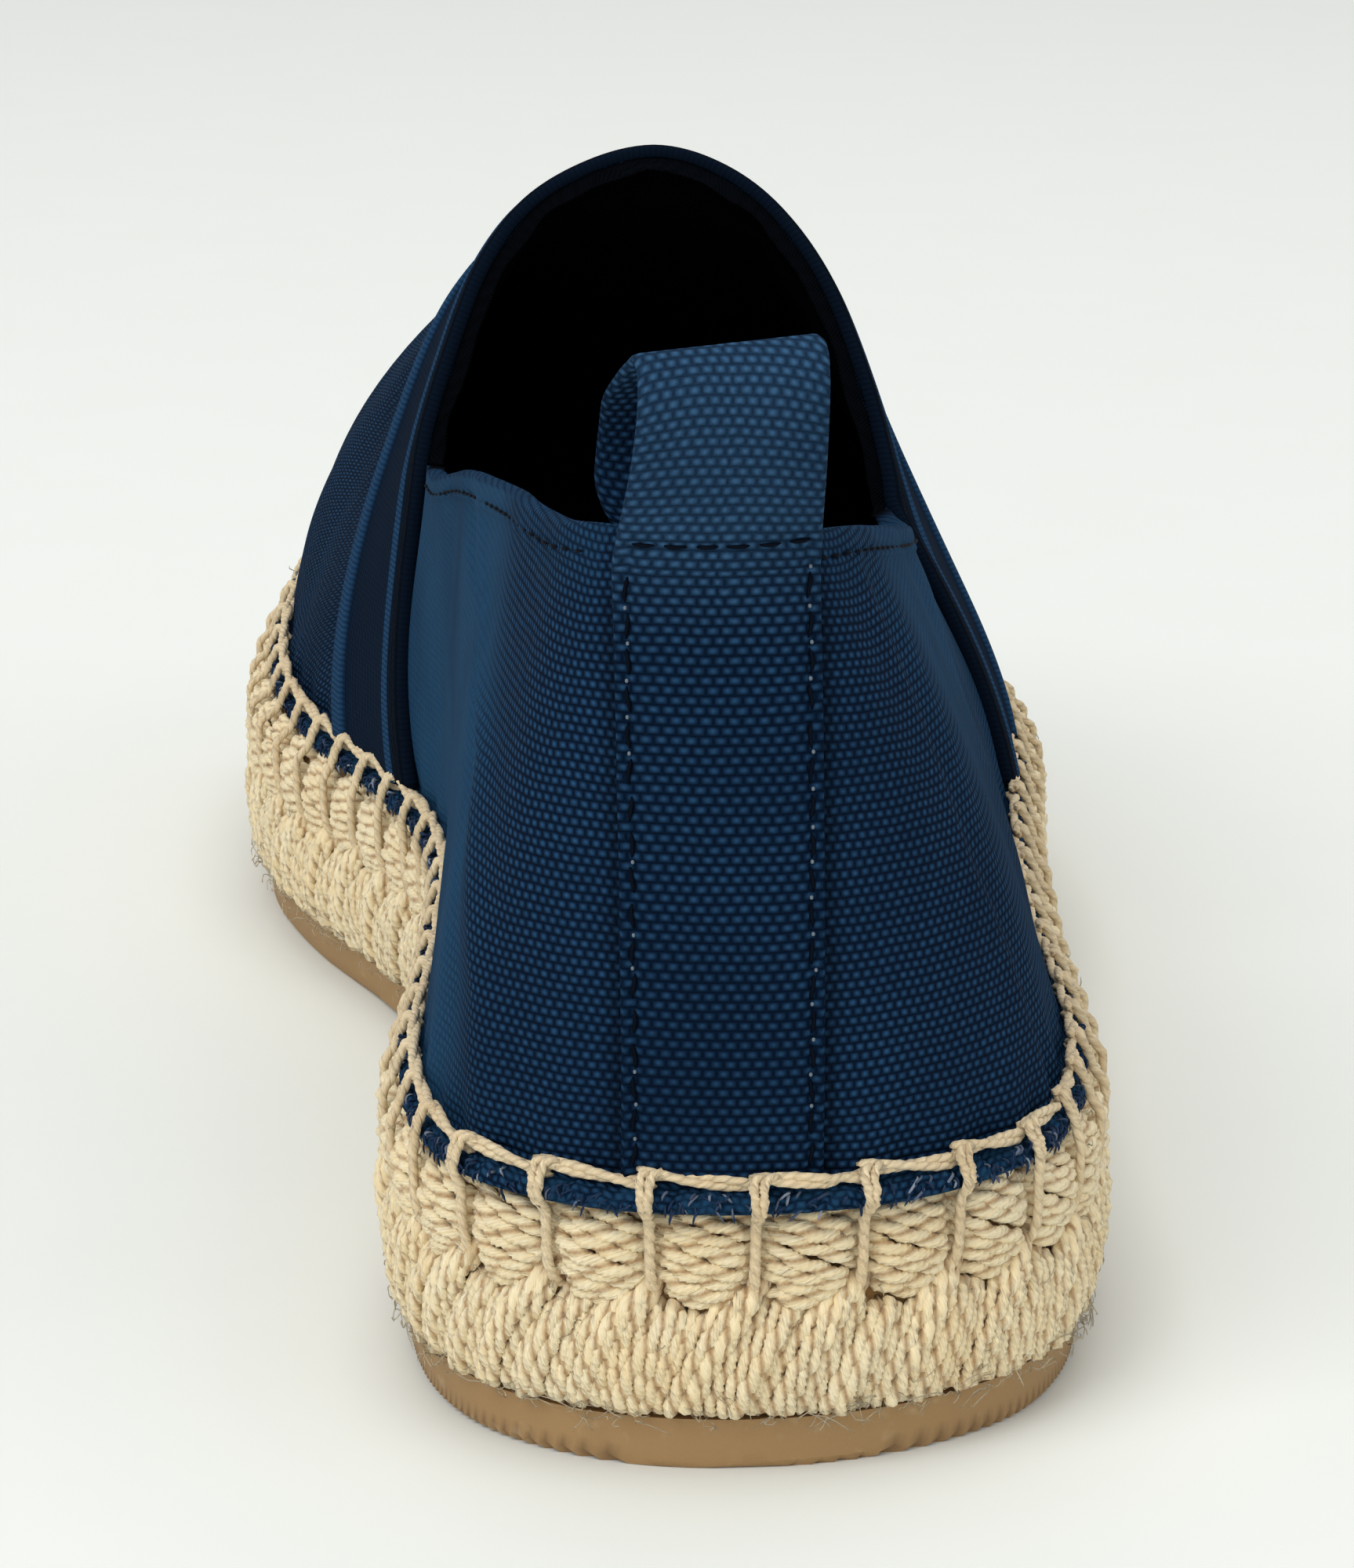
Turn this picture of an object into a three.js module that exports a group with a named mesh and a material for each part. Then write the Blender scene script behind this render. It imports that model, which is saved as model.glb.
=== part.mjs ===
// Espadrille, right shoe, in millimetres. +Y points to the toe, -X to the inner side of the foot,
// +Z up. The origin is on the floor under the centre of the heel.
import * as THREE from 'three';

// Plan of the sole
const soleLength = 260;
const heelWidth = 63;
const ballWidth = 86;
const heelSeat = 32; // from the back of the outsole to the centre of the heel
// Heights of the sole
const outsoleThickness = 4.6;
const outsoleEdgeRound = 0.7;
const juteLowerRow = 11.6;
const juteUpperRow = 7.7;
const toeSpring = 8.5;
const springStart = 0.71; // share of the sole's length where the toe starts to rise
// Jute plait
const juteBulge = 2.3; // how far the rows stand out past the outsole
const juteGroove = 1.7; // how far the line between the rows lies behind their crests
const bundleRelief = 0.9; // height of a yarn bundle over the gap beside it
const bundlePitch = 9;
// Upper
const canvasWall = 1.6;
const featherInset = 2.2; // from the edge of the outsole in to the foot of the canvas
const hemHeight = 2.5;
const hemTurn = 2.1; // how far the hem is turned out past the foot of the canvas
const heelHeight = 57; // from the jute to the top of the heel
const throatHeight = 68.5; // from the jute to the top of the instep
const throatFoot = 127; // from the back of the sole to the tape's rear edge, at the hem
const throatLean = 0.351; // forward lean of the throat, per unit of height
const throatSkew = 0.06; // how much further forward the throat starts on the inner side
const throatCorner = 0.52; // share of the side's length at which the collar meets the tape
const counterSwell = 2.6; // bulge of the counter and the sides
// Throat tape
const tapeWidth = 24;
const tapeBorder = 3.6;
const tapeThickness = 0.8;
const tapeStep = 0.5; // border over field
const tapeOverhang = 0.3;
// Heel webbing and its pull loop
const webbingWidth = 17;
const webbingThickness = 1.2;
const webbingCentre = -6;
const loopHeight = 17.5; // above the collar
const loopDepth = 8.5;
const loopTuck = 13; // length sewn to the inside of the heel
// Insole
const insoleThickness = 3;
const insoleMargin = 0.7; // from the edge of the insole to the wall of the upper
// Clearance between pieces that touch
const gap = 0.3;

// Levels, from the floor up
const juteBottom = outsoleThickness + gap;
const juteTop = juteBottom + juteLowerRow + juteUpperRow;
const upperFloor = juteTop + gap;
const hemTop = upperFloor + hemHeight;

// Colours and finishes
const canvasNavy = new THREE.MeshStandardMaterial({ color: 0x1f364f, roughness: 0.95, metalness: 0 });
const webbingNavy = new THREE.MeshStandardMaterial({ color: 0x13263e, roughness: 0.85, metalness: 0 });
const juteStraw = new THREE.MeshStandardMaterial({ color: 0xd2b98f, roughness: 0.95, metalness: 0 });
const rubberTan = new THREE.MeshStandardMaterial({ color: 0xa5875f, roughness: 0.8, metalness: 0 });
const liningNavy = new THREE.MeshStandardMaterial({ color: 0x101b28, roughness: 0.95, metalness: 0 });

// Outline of the outsole. along is a share of soleLength, medial and lateral are shares of the
// width named in the row. medialIn and lateralIn are how far in from the edge the foot of the
// canvas stands, as shares of featherInset.
const SOLE = [
  { along: 0.000, medial: -0.048, lateral: -0.048, of: heelWidth, medialIn: -0.7, lateralIn: -0.7 },
  { along: 0.010, medial: -0.254, lateral: 0.154, of: heelWidth, medialIn: -0.7, lateralIn: -0.6 },
  { along: 0.038, medial: -0.405, lateral: 0.329, of: heelWidth, medialIn: -0.3, lateralIn: 0.1 },
  { along: 0.077, medial: -0.481, lateral: 0.424, of: heelWidth, medialIn: 0.4, lateralIn: 0.6 },
  { along: 0.150, medial: -0.510, lateral: 0.490, of: heelWidth, medialIn: 0.8, lateralIn: 0.9 },
  { along: 0.230, medial: -0.476, lateral: 0.510, of: heelWidth, medialIn: 0.7, lateralIn: 1.0 },
  { along: 0.308, medial: -0.437, lateral: 0.522, of: heelWidth, medialIn: 0.4, lateralIn: 1.1 },
  { along: 0.385, medial: -0.298, lateral: 0.401, of: ballWidth, medialIn: 0.1, lateralIn: 1.0 },
  { along: 0.462, medial: -0.313, lateral: 0.421, of: ballWidth, medialIn: 0.1, lateralIn: 0.8 },
  { along: 0.538, medial: -0.378, lateral: 0.453, of: ballWidth, medialIn: 0.5, lateralIn: 0.9 },
  { along: 0.615, medial: -0.459, lateral: 0.481, of: ballWidth, medialIn: 1.0, lateralIn: 1.2 },
  { along: 0.692, medial: -0.509, lateral: 0.487, of: ballWidth, medialIn: 1.4, lateralIn: 1.4 },
  { along: 0.769, medial: -0.512, lateral: 0.469, of: ballWidth, medialIn: 1.2, lateralIn: 1.2 },
  { along: 0.846, medial: -0.487, lateral: 0.426, of: ballWidth, medialIn: 1.0, lateralIn: 1.0 },
  { along: 0.923, medial: -0.433, lateral: 0.331, of: ballWidth, medialIn: 1.0, lateralIn: 1.0 },
  { along: 0.969, medial: -0.366, lateral: 0.213, of: ballWidth, medialIn: 1.0, lateralIn: 1.0 },
  { along: 0.992, medial: -0.267, lateral: 0.062, of: ballWidth, medialIn: 1.0, lateralIn: 1.0 },
  { along: 1.000, medial: -0.098, lateral: -0.098, of: ballWidth, medialIn: 1.0, lateralIn: 1.0 },
];

// Collar from the heel (at 0) to the corner where it meets the tape (at 1), at shares of the way.
// along is a share of the distance from the back of the sole to that corner, medial and lateral
// are shares of heelWidth, and the heights are shares of heelHeight.
const COLLAR = [
  { at: 0.00, along: 0.037, medial: -0.095, lateral: -0.095, medialTop: 1.000, lateralTop: 1.000 },
  { at: 0.08, along: 0.043, medial: -0.168, lateral: -0.029, medialTop: 1.007, lateralTop: 1.003 },
  { at: 0.16, along: 0.067, medial: -0.238, lateral: 0.044, medialTop: 1.007, lateralTop: 0.997 },
  { at: 0.25, along: 0.144, medial: -0.298, lateral: 0.116, medialTop: 0.977, lateralTop: 0.963 },
  { at: 0.44, along: 0.359, medial: -0.343, lateral: 0.219, medialTop: 0.912, lateralTop: 0.849 },
  { at: 0.70, along: 0.647, medial: -0.390, lateral: 0.317, medialTop: 0.796, lateralTop: 0.700 },
  { at: 0.88, along: 0.849, medial: -0.420, lateral: 0.357, medialTop: 0.684, lateralTop: 0.600 },
  { at: 1.00, along: 1.000, medial: -0.425, lateral: 0.370, medialTop: 0.640, lateralTop: 0.563 },
];

// Throat edge from the corner (at 0) to the top of the instep (at 1). medial and lateral are
// shares of heelWidth, top is how far up from the corner to the instep the edge has come.
const THROAT = [
  { at: 0.00, medial: -0.425, lateral: 0.370, top: 0.00 },
  { at: 0.12, medial: -0.412, lateral: 0.360, top: 0.12 },
  { at: 0.28, medial: -0.372, lateral: 0.328, top: 0.35 },
  { at: 0.46, medial: -0.312, lateral: 0.266, top: 0.63 },
  { at: 0.64, medial: -0.233, lateral: 0.184, top: 0.83 },
  { at: 0.82, medial: -0.128, lateral: 0.090, top: 0.950 },
  { at: 1.00, medial: -0.017, lateral: -0.017, top: 1.00 },
];

// Section of the upper at shares of the way from the back of the heel (0) to the toe (1).
// rise is how far the wall climbs over its foot before it bends and drop how far below the edge it
// bends again, both shares of its height. lean is how much of the way in to the edge it has gone at
// the first bend. reach and spread are how much of the way back out to the foot, along and across
// the shoe, it has gone at the second. medial and lateral are the bulge of each side over its foot,
// as shares of counterSwell.
const SECTION = [
  { at: 0.00, rise: 0.36, lean: 0.00, reach: 0.70, spread: 0.60, drop: 0.36, medial: 0.70, lateral: 0.70 },
  { at: 0.06, rise: 0.36, lean: 0.06, reach: 0.62, spread: 0.50, drop: 0.36, medial: 0.50, lateral: 0.40 },
  { at: 0.13, rise: 0.36, lean: 0.20, reach: 0.60, spread: 0.42, drop: 0.34, medial: 0.40, lateral: 0.10 },
  { at: 0.30, rise: 0.35, lean: 0.25, reach: 0.60, spread: 0.40, drop: 0.34, medial: 0.30, lateral: 0.00 },
  { at: 0.52, rise: 0.34, lean: 0.15, reach: 0.55, spread: 0.34, drop: 0.32, medial: 0.40, lateral: 0.00 },
  { at: 0.60, rise: 0.30, lean: 0.08, reach: 0.46, spread: 0.20, drop: 0.28, medial: 0.20, lateral: 0.00 },
  { at: 0.70, rise: 0.28, lean: 0.05, reach: 0.42, spread: 0.16, drop: 0.27, medial: 0.10, lateral: 0.00 },
  { at: 0.85, rise: 0.38, lean: 0.00, reach: 0.38, spread: 0.28, drop: 0.32, medial: 0.20, lateral: 0.10 },
  { at: 1.00, rise: 0.41, lean: 0.00, reach: 0.36, spread: 0.36, drop: 0.36, medial: -0.50, lateral: -0.50 },
];

// Centre line of the pull loop. front is a share of loopDepth ahead of the back of the collar and
// up a share of loopHeight over it.
const LOOP = [
  { front: -0.16, up: 0.12 },
  { front: -0.26, up: 0.45 },
  { front: -0.20, up: 0.85 },
  { front: 0.06, up: 1.00 },
  { front: 0.44, up: 0.86 },
  { front: 0.86, up: 0.56 },
  { front: 0.96, up: 0.28 },
  { front: 0.74, up: 0.02 },
];

// Columns and rows of the meshes
const quarterColumns = 24;
const vampColumns = 22;
const soleColumns = 40;
const wallRows = 10;
const tapeSteps = 48;
const webbingSteps = 15;
const webbingLanes = 6;

// Smooth value of one column of a table at a share of the way. Where the two sides of the shoe
// meet in the middle, a column can end level.
function read(table, name, at, levelStart = false, levelEnd = false) {
  const last = table.length - 1;
  let i = 0;
  while (i < last - 1 && table[i + 1].at < at) i += 1;
  const slope = (k) => {
    if ((k === 0 && levelStart) || (k === last && levelEnd)) return 0;
    const a = table[Math.max(k - 1, 0)];
    const b = table[Math.min(k + 1, last)];
    return (b[name] - a[name]) / (b.at - a.at);
  };
  const [p, q] = [table[i], table[i + 1]];
  const span = q.at - p.at;
  const u = (at - p.at) / span;
  const [u2, u3] = [u * u, u * u * u];
  return p[name] * (2 * u3 - 3 * u2 + 1) + q[name] * (3 * u2 - 2 * u3)
    + span * (slope(i) * (u3 - 2 * u2 + u) + slope(i + 1) * (u3 - u2));
}

// Outline of the sole in plan, split at heel and toe into two sides, each measured along its edge
function makeOutline() {
  const point = (row, side) => new THREE.Vector3(
    row[side] * row.of,
    row.along * soleLength,
    row[`${side}In`],
  );
  const inner = SOLE.map((row) => point(row, 'medial'));
  const outer = SOLE.slice(1, -1).map((row) => point(row, 'lateral')).reverse();
  const curve = new THREE.CatmullRomCurve3([...inner, ...outer], true, 'centripetal');
  const fine = 1440;
  const toe = (SOLE.length - 1) / (inner.length + outer.length);
  const side = (from, to) => {
    const points = [];
    for (let i = 0; i <= fine / 2; i += 1) {
      const u = from + (to - from) * i / (fine / 2);
      points.push(curve.getPoint((u + 1) % 1));
    }
    const lengths = [0];
    for (let i = 1; i < points.length; i += 1) {
      const step = Math.hypot(points[i].x - points[i - 1].x, points[i].y - points[i - 1].y);
      lengths.push(lengths[i - 1] + step);
    }
    return { points, lengths, total: lengths[lengths.length - 1] };
  };
  return { medial: side(0, toe), lateral: side(1, toe) };
}
const outline = makeOutline();

// Point and outward direction on the outline at a share of one side, heel 0 to toe 1
function edge(side, share) {
  const { points, lengths, total } = outline[side];
  const goal = share * total;
  let low = 0;
  let high = lengths.length - 1;
  while (high - low > 1) {
    const mid = (low + high) >> 1;
    if (lengths[mid] > goal) high = mid;
    else low = mid;
  }
  const u = (goal - lengths[low]) / (lengths[high] - lengths[low]);
  const p = points[low].clone().lerp(points[high], u);
  const a = points[Math.max(low - 2, 0)];
  const b = points[Math.min(high + 2, points.length - 1)];
  const turn = side === 'medial' ? -1 : 1;
  const out = new THREE.Vector2((b.y - a.y) * turn, (a.x - b.x) * turn).normalize();
  return { x: p.x, y: p.y, inset: p.z * featherInset, out };
}

// Rise of every layer towards the toe, at a distance from the back of the sole
function spring(y) {
  const start = springStart * soleLength;
  const over = Math.max(y - start, 0) / (soleLength - start);
  return toeSpring * over * over;
}

// Point beside the outline, moved outward by some distance, at a height over the sprung floor
function beside(side, share, outward, height) {
  const e = edge(side, share);
  const x = e.x + e.out.x * outward;
  const y = e.y + e.out.y * outward;
  return new THREE.Vector3(x, y, height + spring(y));
}

// Foot of the canvas, on the hem
function foot(side, share, height = hemTop, outward = 0) {
  return beside(side, share, outward - edge(side, share).inset, height);
}

// Edge of the upper: the collar behind the corner, the throat ahead of it
function rim(side, share) {
  const level = (name, at) => upperFloor + read(COLLAR, name, at, true) * heelHeight;
  const corner = level(`${side}Top`, 1);
  if (share <= throatCorner) {
    const at = share / throatCorner;
    const reach = throatLine(read(COLLAR, side, 1) * heelWidth, corner);
    return new THREE.Vector3(
      read(COLLAR, side, at) * heelWidth,
      read(COLLAR, 'along', at, true) * reach,
      level(`${side}Top`, at),
    );
  }
  const at = (share - throatCorner) / (1 - throatCorner);
  const x = read(THROAT, side, at) * heelWidth;
  const z = corner + (upperFloor + throatHeight - corner) * read(THROAT, 'top', at, false, true);
  return new THREE.Vector3(x, throatLine(x, z), z);
}

// Distance from the back of the sole to the plane of the throat
function throatLine(x, z) {
  return throatFoot + throatLean * (z - hemTop) - throatSkew * x;
}

// Outer face of the upper: share runs from heel to toe, climb from the hem to the edge
function wall(side, share, climb) {
  const from = foot(side, share);
  const to = rim(side, share);
  const { out } = edge(side, share);
  const height = to.z - from.z;
  const bend = (name) => read(SECTION, name, share, true, true);
  const swell = bend(side) * counterSwell;
  const low = from.clone();
  low.x += out.x * swell + (to.x - from.x) * bend('lean');
  low.y += out.y * swell;
  low.z += bend('rise') * height;
  const high = to.clone();
  high.x += (from.x - to.x) * bend('spread');
  high.y += (from.y - to.y) * bend('reach');
  high.z -= bend('drop') * height;
  const v = climb;
  const w = 1 - climb;
  return from.multiplyScalar(w * w * w)
    .addScaledVector(low, 3 * w * w * v)
    .addScaledVector(high, 3 * w * v * v)
    .addScaledVector(to, v * v * v);
}

// Place on the upper by one signed share, negative on the inner side, moved off its outer face
function onWall(signed, climb, off = 0) {
  const at = (s, c) => wall(s < 0 ? 'medial' : 'lateral', Math.min(Math.abs(s), 2 - Math.abs(s)), c);
  const d = 0.004;
  const p = at(signed, climb);
  if (off === 0) return p;
  const near = Math.abs(signed) > 1 - d ? Math.sign(signed) : 0;
  const a = near ? wall('medial', 1 - d, climb) : at(signed - d, climb);
  const b = near ? wall('lateral', 1 - d, climb) : at(signed + d, climb);
  const along = b.sub(a);
  if (near) along.negate();
  const up = at(signed, Math.min(climb + d, 1 + d)).sub(at(signed, climb - d));
  return p.addScaledVector(along.cross(up).normalize(), off);
}

// Closed ring of points around the sole, inner side first, from shares of each side
function ringOf(shares, place) {
  const inner = shares.map((share) => place('medial', share));
  const outer = shares.slice(1, -1).map((share) => place('lateral', share)).reverse();
  return [...inner, ...outer];
}

const evenly = (count) => Array.from({ length: count + 1 }, (_, i) => i / count);

// Mesh from points and triangles
function solid(points, triangles) {
  const geometry = new THREE.BufferGeometry();
  const flat = points.flatMap((p) => [p.x, p.y - heelSeat, p.z]);
  geometry.setAttribute('position', new THREE.Float32BufferAttribute(flat, 3));
  geometry.setIndex(triangles);
  geometry.computeVertexNormals();
  return geometry;
}

// Skin between rings of equal count, each ring linked to the next
function linkRings(rings, closed) {
  const count = rings[0].length;
  const triangles = [];
  const last = closed ? rings.length : rings.length - 1;
  for (let r = 0; r < last; r += 1) {
    const here = r * count;
    const next = ((r + 1) % rings.length) * count;
    for (let i = 0; i < count; i += 1) {
      const j = (i + 1) % count;
      triangles.push(here + i, next + i, here + j, here + j, next + i, next + j);
    }
  }
  return triangles;
}

// Slab with its side made of rings, its two faces bridged by rungs from side to side
function slab(rings, rungs) {
  const count = rings[0].length;
  const points = rings.flat();
  const triangles = linkRings(rings, false);
  const half = count / 2;
  const lanes = rungs.length + 1;
  for (const [ring, facesUp] of [[0, false], [rings.length - 1, true]]) {
    const start = ring * count;
    const rows = [[start]];
    for (let i = 1; i < half; i += 1) {
      const a = points[start + i];
      const b = points[start + count - i];
      const row = [start + i];
      for (const share of rungs) {
        const p = a.clone().lerp(b, share);
        const level = (a.z - spring(a.y) + b.z - spring(b.y)) / 2;
        p.z = level + spring(p.y);
        row.push(points.length);
        points.push(p);
      }
      row.push(start + count - i);
      rows.push(row);
    }
    rows.push([start + half]);
    const add = (a, b, c) => triangles.push(...(facesUp ? [a, b, c] : [a, c, b]));
    for (let i = 0; i < rows.length - 1; i += 1) {
      for (let k = 0; k < lanes; k += 1) {
        const [p, q] = [rows[i], rows[i + 1]];
        if (p.length === 1) add(p[0], q[k + 1], q[k]);
        else if (q.length === 1) add(p[k], p[k + 1], q[0]);
        else {
          add(p[k], p[k + 1], q[k + 1]);
          add(p[k], q[k + 1], q[k]);
        }
      }
    }
  }
  return solid(points, triangles);
}

// Strip with an outer and an inner grid of points, closed at its four edges
function strip(outer, inner) {
  const rows = outer.length;
  const lanes = outer[0].length;
  const points = [...outer.flat(), ...inner.flat()];
  const top = (r, k) => r * lanes + k;
  const under = (r, k) => rows * lanes + r * lanes + k;
  const triangles = [];
  const quad = (a, b, c, d) => triangles.push(a, c, b, a, d, c);
  for (let r = 0; r < rows - 1; r += 1) {
    for (let k = 0; k < lanes - 1; k += 1) {
      quad(top(r, k), top(r, k + 1), top(r + 1, k + 1), top(r + 1, k));
      quad(under(r, k), under(r + 1, k), under(r + 1, k + 1), under(r, k + 1));
    }
    quad(top(r, 0), top(r + 1, 0), under(r + 1, 0), under(r, 0));
    quad(top(r, lanes - 1), under(r, lanes - 1), under(r + 1, lanes - 1), top(r + 1, lanes - 1));
  }
  for (let k = 0; k < lanes - 1; k += 1) {
    quad(top(0, k), under(0, k), under(0, k + 1), top(0, k + 1));
    quad(top(rows - 1, k), top(rows - 1, k + 1), under(rows - 1, k + 1), under(rows - 1, k));
  }
  return solid(points, triangles);
}

// Rubber outsole with a rounded lower edge
function makeOutsole() {
  const shares = evenly(soleColumns);
  const ring = (outward, height) => ringOf(shares, (side, s) => beside(side, s, outward, height));
  const rings = [
    ring(-outsoleEdgeRound, 0),
    ring(0, outsoleEdgeRound),
    ring(0, outsoleThickness),
  ];
  return slab(rings, [0.25, 0.5, 0.75]);
}

// Jute plait: two rows of bundles round the edge, slanting against each other
function makeJute() {
  const round = outline.medial.total + outline.lateral.total;
  const half = Math.round(round / bundlePitch);
  const shares = evenly(half);
  const middle = juteBottom + juteLowerRow;
  const rows = [
    { height: juteBottom, out: -0.4, relief: 0.4, lean: 0 },
    { height: juteBottom + juteLowerRow * 0.2, out: 0.6, relief: 1, lean: 0 },
    { height: juteBottom + juteLowerRow * 0.55, out: 1, relief: 1, lean: 1 },
    { height: juteBottom + juteLowerRow * 0.85, out: 0.75, relief: 1, lean: 2 },
    { height: middle, out: 1 - juteGroove / juteBulge, relief: 0, lean: 0 },
    { height: middle + juteUpperRow * 0.3, out: 0.85, relief: 1, lean: 1 },
    { height: middle + juteUpperRow * 0.65, out: 0.8, relief: 1, lean: 0 },
    { height: middle + juteUpperRow * 0.9, out: 0.1, relief: 0.5, lean: 0 },
    { height: juteTop, out: -1, relief: 0, lean: 0 },
  ];
  const rings = rows.map((row) => {
    const ring = ringOf(shares, (side, s) => [side, s]);
    return ring.map(([side, s], i) => {
      const crest = (i + row.lean) % 2 === 0 ? 0 : -bundleRelief;
      return beside(side, s, row.out * juteBulge + crest * row.relief, row.height);
    });
  });
  return slab(rings, [0.5]);
}

// Insole on the jute, inside the foot of the canvas
function makeInsole() {
  const shares = evenly(soleColumns);
  const inward = -canvasWall - insoleMargin;
  const ring = (height) => ringOf(shares, (side, s) => foot(side, s, height, inward));
  return slab([ring(upperFloor), ring(upperFloor + insoleThickness)], [0.25, 0.5, 0.75]);
}

// Canvas upper: one wall from the turned hem up to collar and throat, and down again inside
function makeUpper() {
  const shares = [
    ...evenly(quarterColumns).map((u) => u * throatCorner),
    ...evenly(vampColumns).slice(1).map((u) => throatCorner + u * (1 - throatCorner)),
  ];
  const signed = (side, s) => (side === 'medial' ? -s : s);
  const hem = (outward, height) => ringOf(shares, (side, s) => foot(side, s, height, outward));
  const face = (climb, off) => ringOf(shares, (side, s) => onWall(signed(side, s), climb, off));
  const rings = [
    hem(hemTurn, upperFloor),
    hem(hemTurn, upperFloor + hemHeight * 0.35),
    hem(hemTurn * 0.45, upperFloor + hemHeight * 0.8),
  ];
  for (const u of evenly(wallRows)) rings.push(face(u, 0));
  for (const u of evenly(wallRows - 2).reverse()) rings.push(face(u, -canvasWall));
  rings.push(hem(-canvasWall, upperFloor));
  return solid(rings.flat(), linkRings(rings, true));
}

// How far ahead of the throat's plane a point is, square to it in side view
function ahead(p) {
  return (p.y - throatLine(p.x, p.z)) / Math.hypot(1, throatLean);
}

// Number between low and high at which a falling function reaches a goal
function solve(low, high, goal, f) {
  let [a, b] = [low, high];
  for (let i = 0; i < 30; i += 1) {
    const mid = (a + b) / 2;
    if (f(mid) > goal) a = mid;
    else b = mid;
  }
  return (a + b) / 2;
}

// Line over the instep at one distance ahead of the throat, hem to hem, in equal steps
function tapeLine(distance, steps) {
  const lowest = 0.02;
  const samples = 120;
  const path = [];
  for (const side of ['medial', 'lateral']) {
    const start = solve(0.25, 0.85, -distance, (s) => -ahead(wall(side, s, lowest)));
    const half = evenly(samples).map((u) => {
      const s = start + (1 - start) * u * u * u;
      return wall(side, s, u === 0 ? lowest : solve(0, 1.04, distance, (c) => ahead(wall(side, s, c))));
    });
    path.push(...(side === 'medial' ? half : half.reverse().slice(1)));
  }
  const lengths = [0];
  for (let i = 1; i < path.length; i += 1) {
    lengths.push(lengths[i - 1] + path[i].distanceTo(path[i - 1]));
  }
  return evenly(steps).map((u) => {
    const goal = u * lengths[lengths.length - 1];
    let i = 1;
    while (i < lengths.length - 1 && lengths[i] < goal) i += 1;
    const part = (goal - lengths[i - 1]) / (lengths[i] - lengths[i - 1]);
    return path[i - 1].clone().lerp(path[i], part);
  });
}

// Throat tape: raised borders beside a lower field
function makeTape() {
  const far = tapeWidth - tapeOverhang;
  const under = 1.5 * gap;
  const low = under + tapeThickness;
  const high = low + tapeStep;
  const lanes = [
    { at: -tapeOverhang, top: high },
    { at: tapeBorder - tapeOverhang, top: high },
    { at: tapeBorder, top: low },
    { at: (tapeWidth - tapeOverhang) / 2, top: low },
    { at: far - tapeBorder, top: low },
    { at: far - tapeBorder + tapeOverhang, top: high },
    { at: far, top: high },
  ];
  const lines = lanes.map((lane) => tapeLine(lane.at, tapeSteps));
  const forward = new THREE.Vector3(throatSkew, 1, -throatLean).normalize();
  const grid = (off) => evenly(tapeSteps).map((_, r) => lines.map((line, k) => {
    const a = line[Math.max(r - 1, 0)];
    const b = line[Math.min(r + 1, tapeSteps)];
    const out = b.clone().sub(a).cross(forward).normalize();
    return line[r].clone().addScaledVector(out, off(lanes[k]));
  }));
  return strip(grid((lane) => lane.top), grid(() => under));
}

// Point on the back of the heel at a width and height, moved off the outer face
function onBack(x, z, off) {
  const climbAt = (s) => solve(0, 1.04, -z, (c) => -onWall(s, c).z);
  const s = solve(-0.25, 0.25, -x, (q) => -onWall(q, climbAt(q)).x);
  return onWall(s, climbAt(s), off);
}

// Heel webbing: up the back, over in a loop, and down inside
function makeWebbing() {
  const lanes = evenly(webbingLanes).map((u) => (0.5 - u) * webbingWidth);
  const bottom = hemTop + 2 * gap;
  const top = upperFloor + heelHeight * COLLAR[0].medialTop;
  const turn = top - 2 * webbingThickness;
  const half = webbingThickness / 2;
  const outside = gap + half;
  const inside = -canvasWall - gap - half;
  const middle = onBack(webbingCentre, turn, 0);
  const start = onBack(webbingCentre, turn, outside);
  const end = onBack(webbingCentre, turn, inside);
  const loop = new THREE.CatmullRomCurve3([
    new THREE.Vector3(0, start.y, turn),
    ...LOOP.map((row) => new THREE.Vector3(0, middle.y + row.front * loopDepth, top + row.up * loopHeight)),
    new THREE.Vector3(0, end.y, turn),
  ], false, 'centripetal');
  const loopSteps = 20;
  const tuckSteps = 4;
  const lane = (a) => {
    const x = webbingCentre + a;
    const line = [];
    for (const u of evenly(webbingSteps)) line.push(onBack(x, bottom + (turn - bottom) * u, outside));
    const bowOut = line[line.length - 1].y - start.y;
    const down = evenly(tuckSteps).map((u) => onBack(x, turn - loopTuck * u, inside));
    const bowIn = down[0].y - end.y;
    const first = line[line.length - 1].x;
    for (let i = 1; i < loopSteps; i += 1) {
      const u = i / loopSteps;
      const p = loop.getPointAt(u);
      const flat = Math.min(Math.max((p.z - top) / (0.8 * loopHeight), 0), 1);
      const bow = (u < 0.5 ? bowOut : bowIn) * (1 - flat);
      const across = THREE.MathUtils.lerp(first, down[0].x, Math.max(2 * u - 1, 0));
      line.push(new THREE.Vector3(across, p.y + bow, p.z));
    }
    return [...line, ...down];
  };
  const centre = lanes.map(lane);
  const rows = centre[0].length;
  const side = (off) => Array.from({ length: rows }, (_, r) => centre.map((line) => {
    const a = line[Math.max(r - 1, 0)];
    const b = line[Math.min(r + 1, rows - 1)];
    const normal = new THREE.Vector3(0, -(b.z - a.z), b.y - a.y).normalize();
    return line[r].clone().addScaledVector(normal, off);
  }));
  return strip(side(half), side(-half));
}

const pieces = [
  ['outsole', makeOutsole(), rubberTan],
  ['jute_midsole', makeJute(), juteStraw],
  ['insole', makeInsole(), liningNavy],
  ['upper', makeUpper(), canvasNavy],
  ['throat_tape', makeTape(), webbingNavy],
  ['heel_webbing', makeWebbing(), webbingNavy],
];

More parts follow.
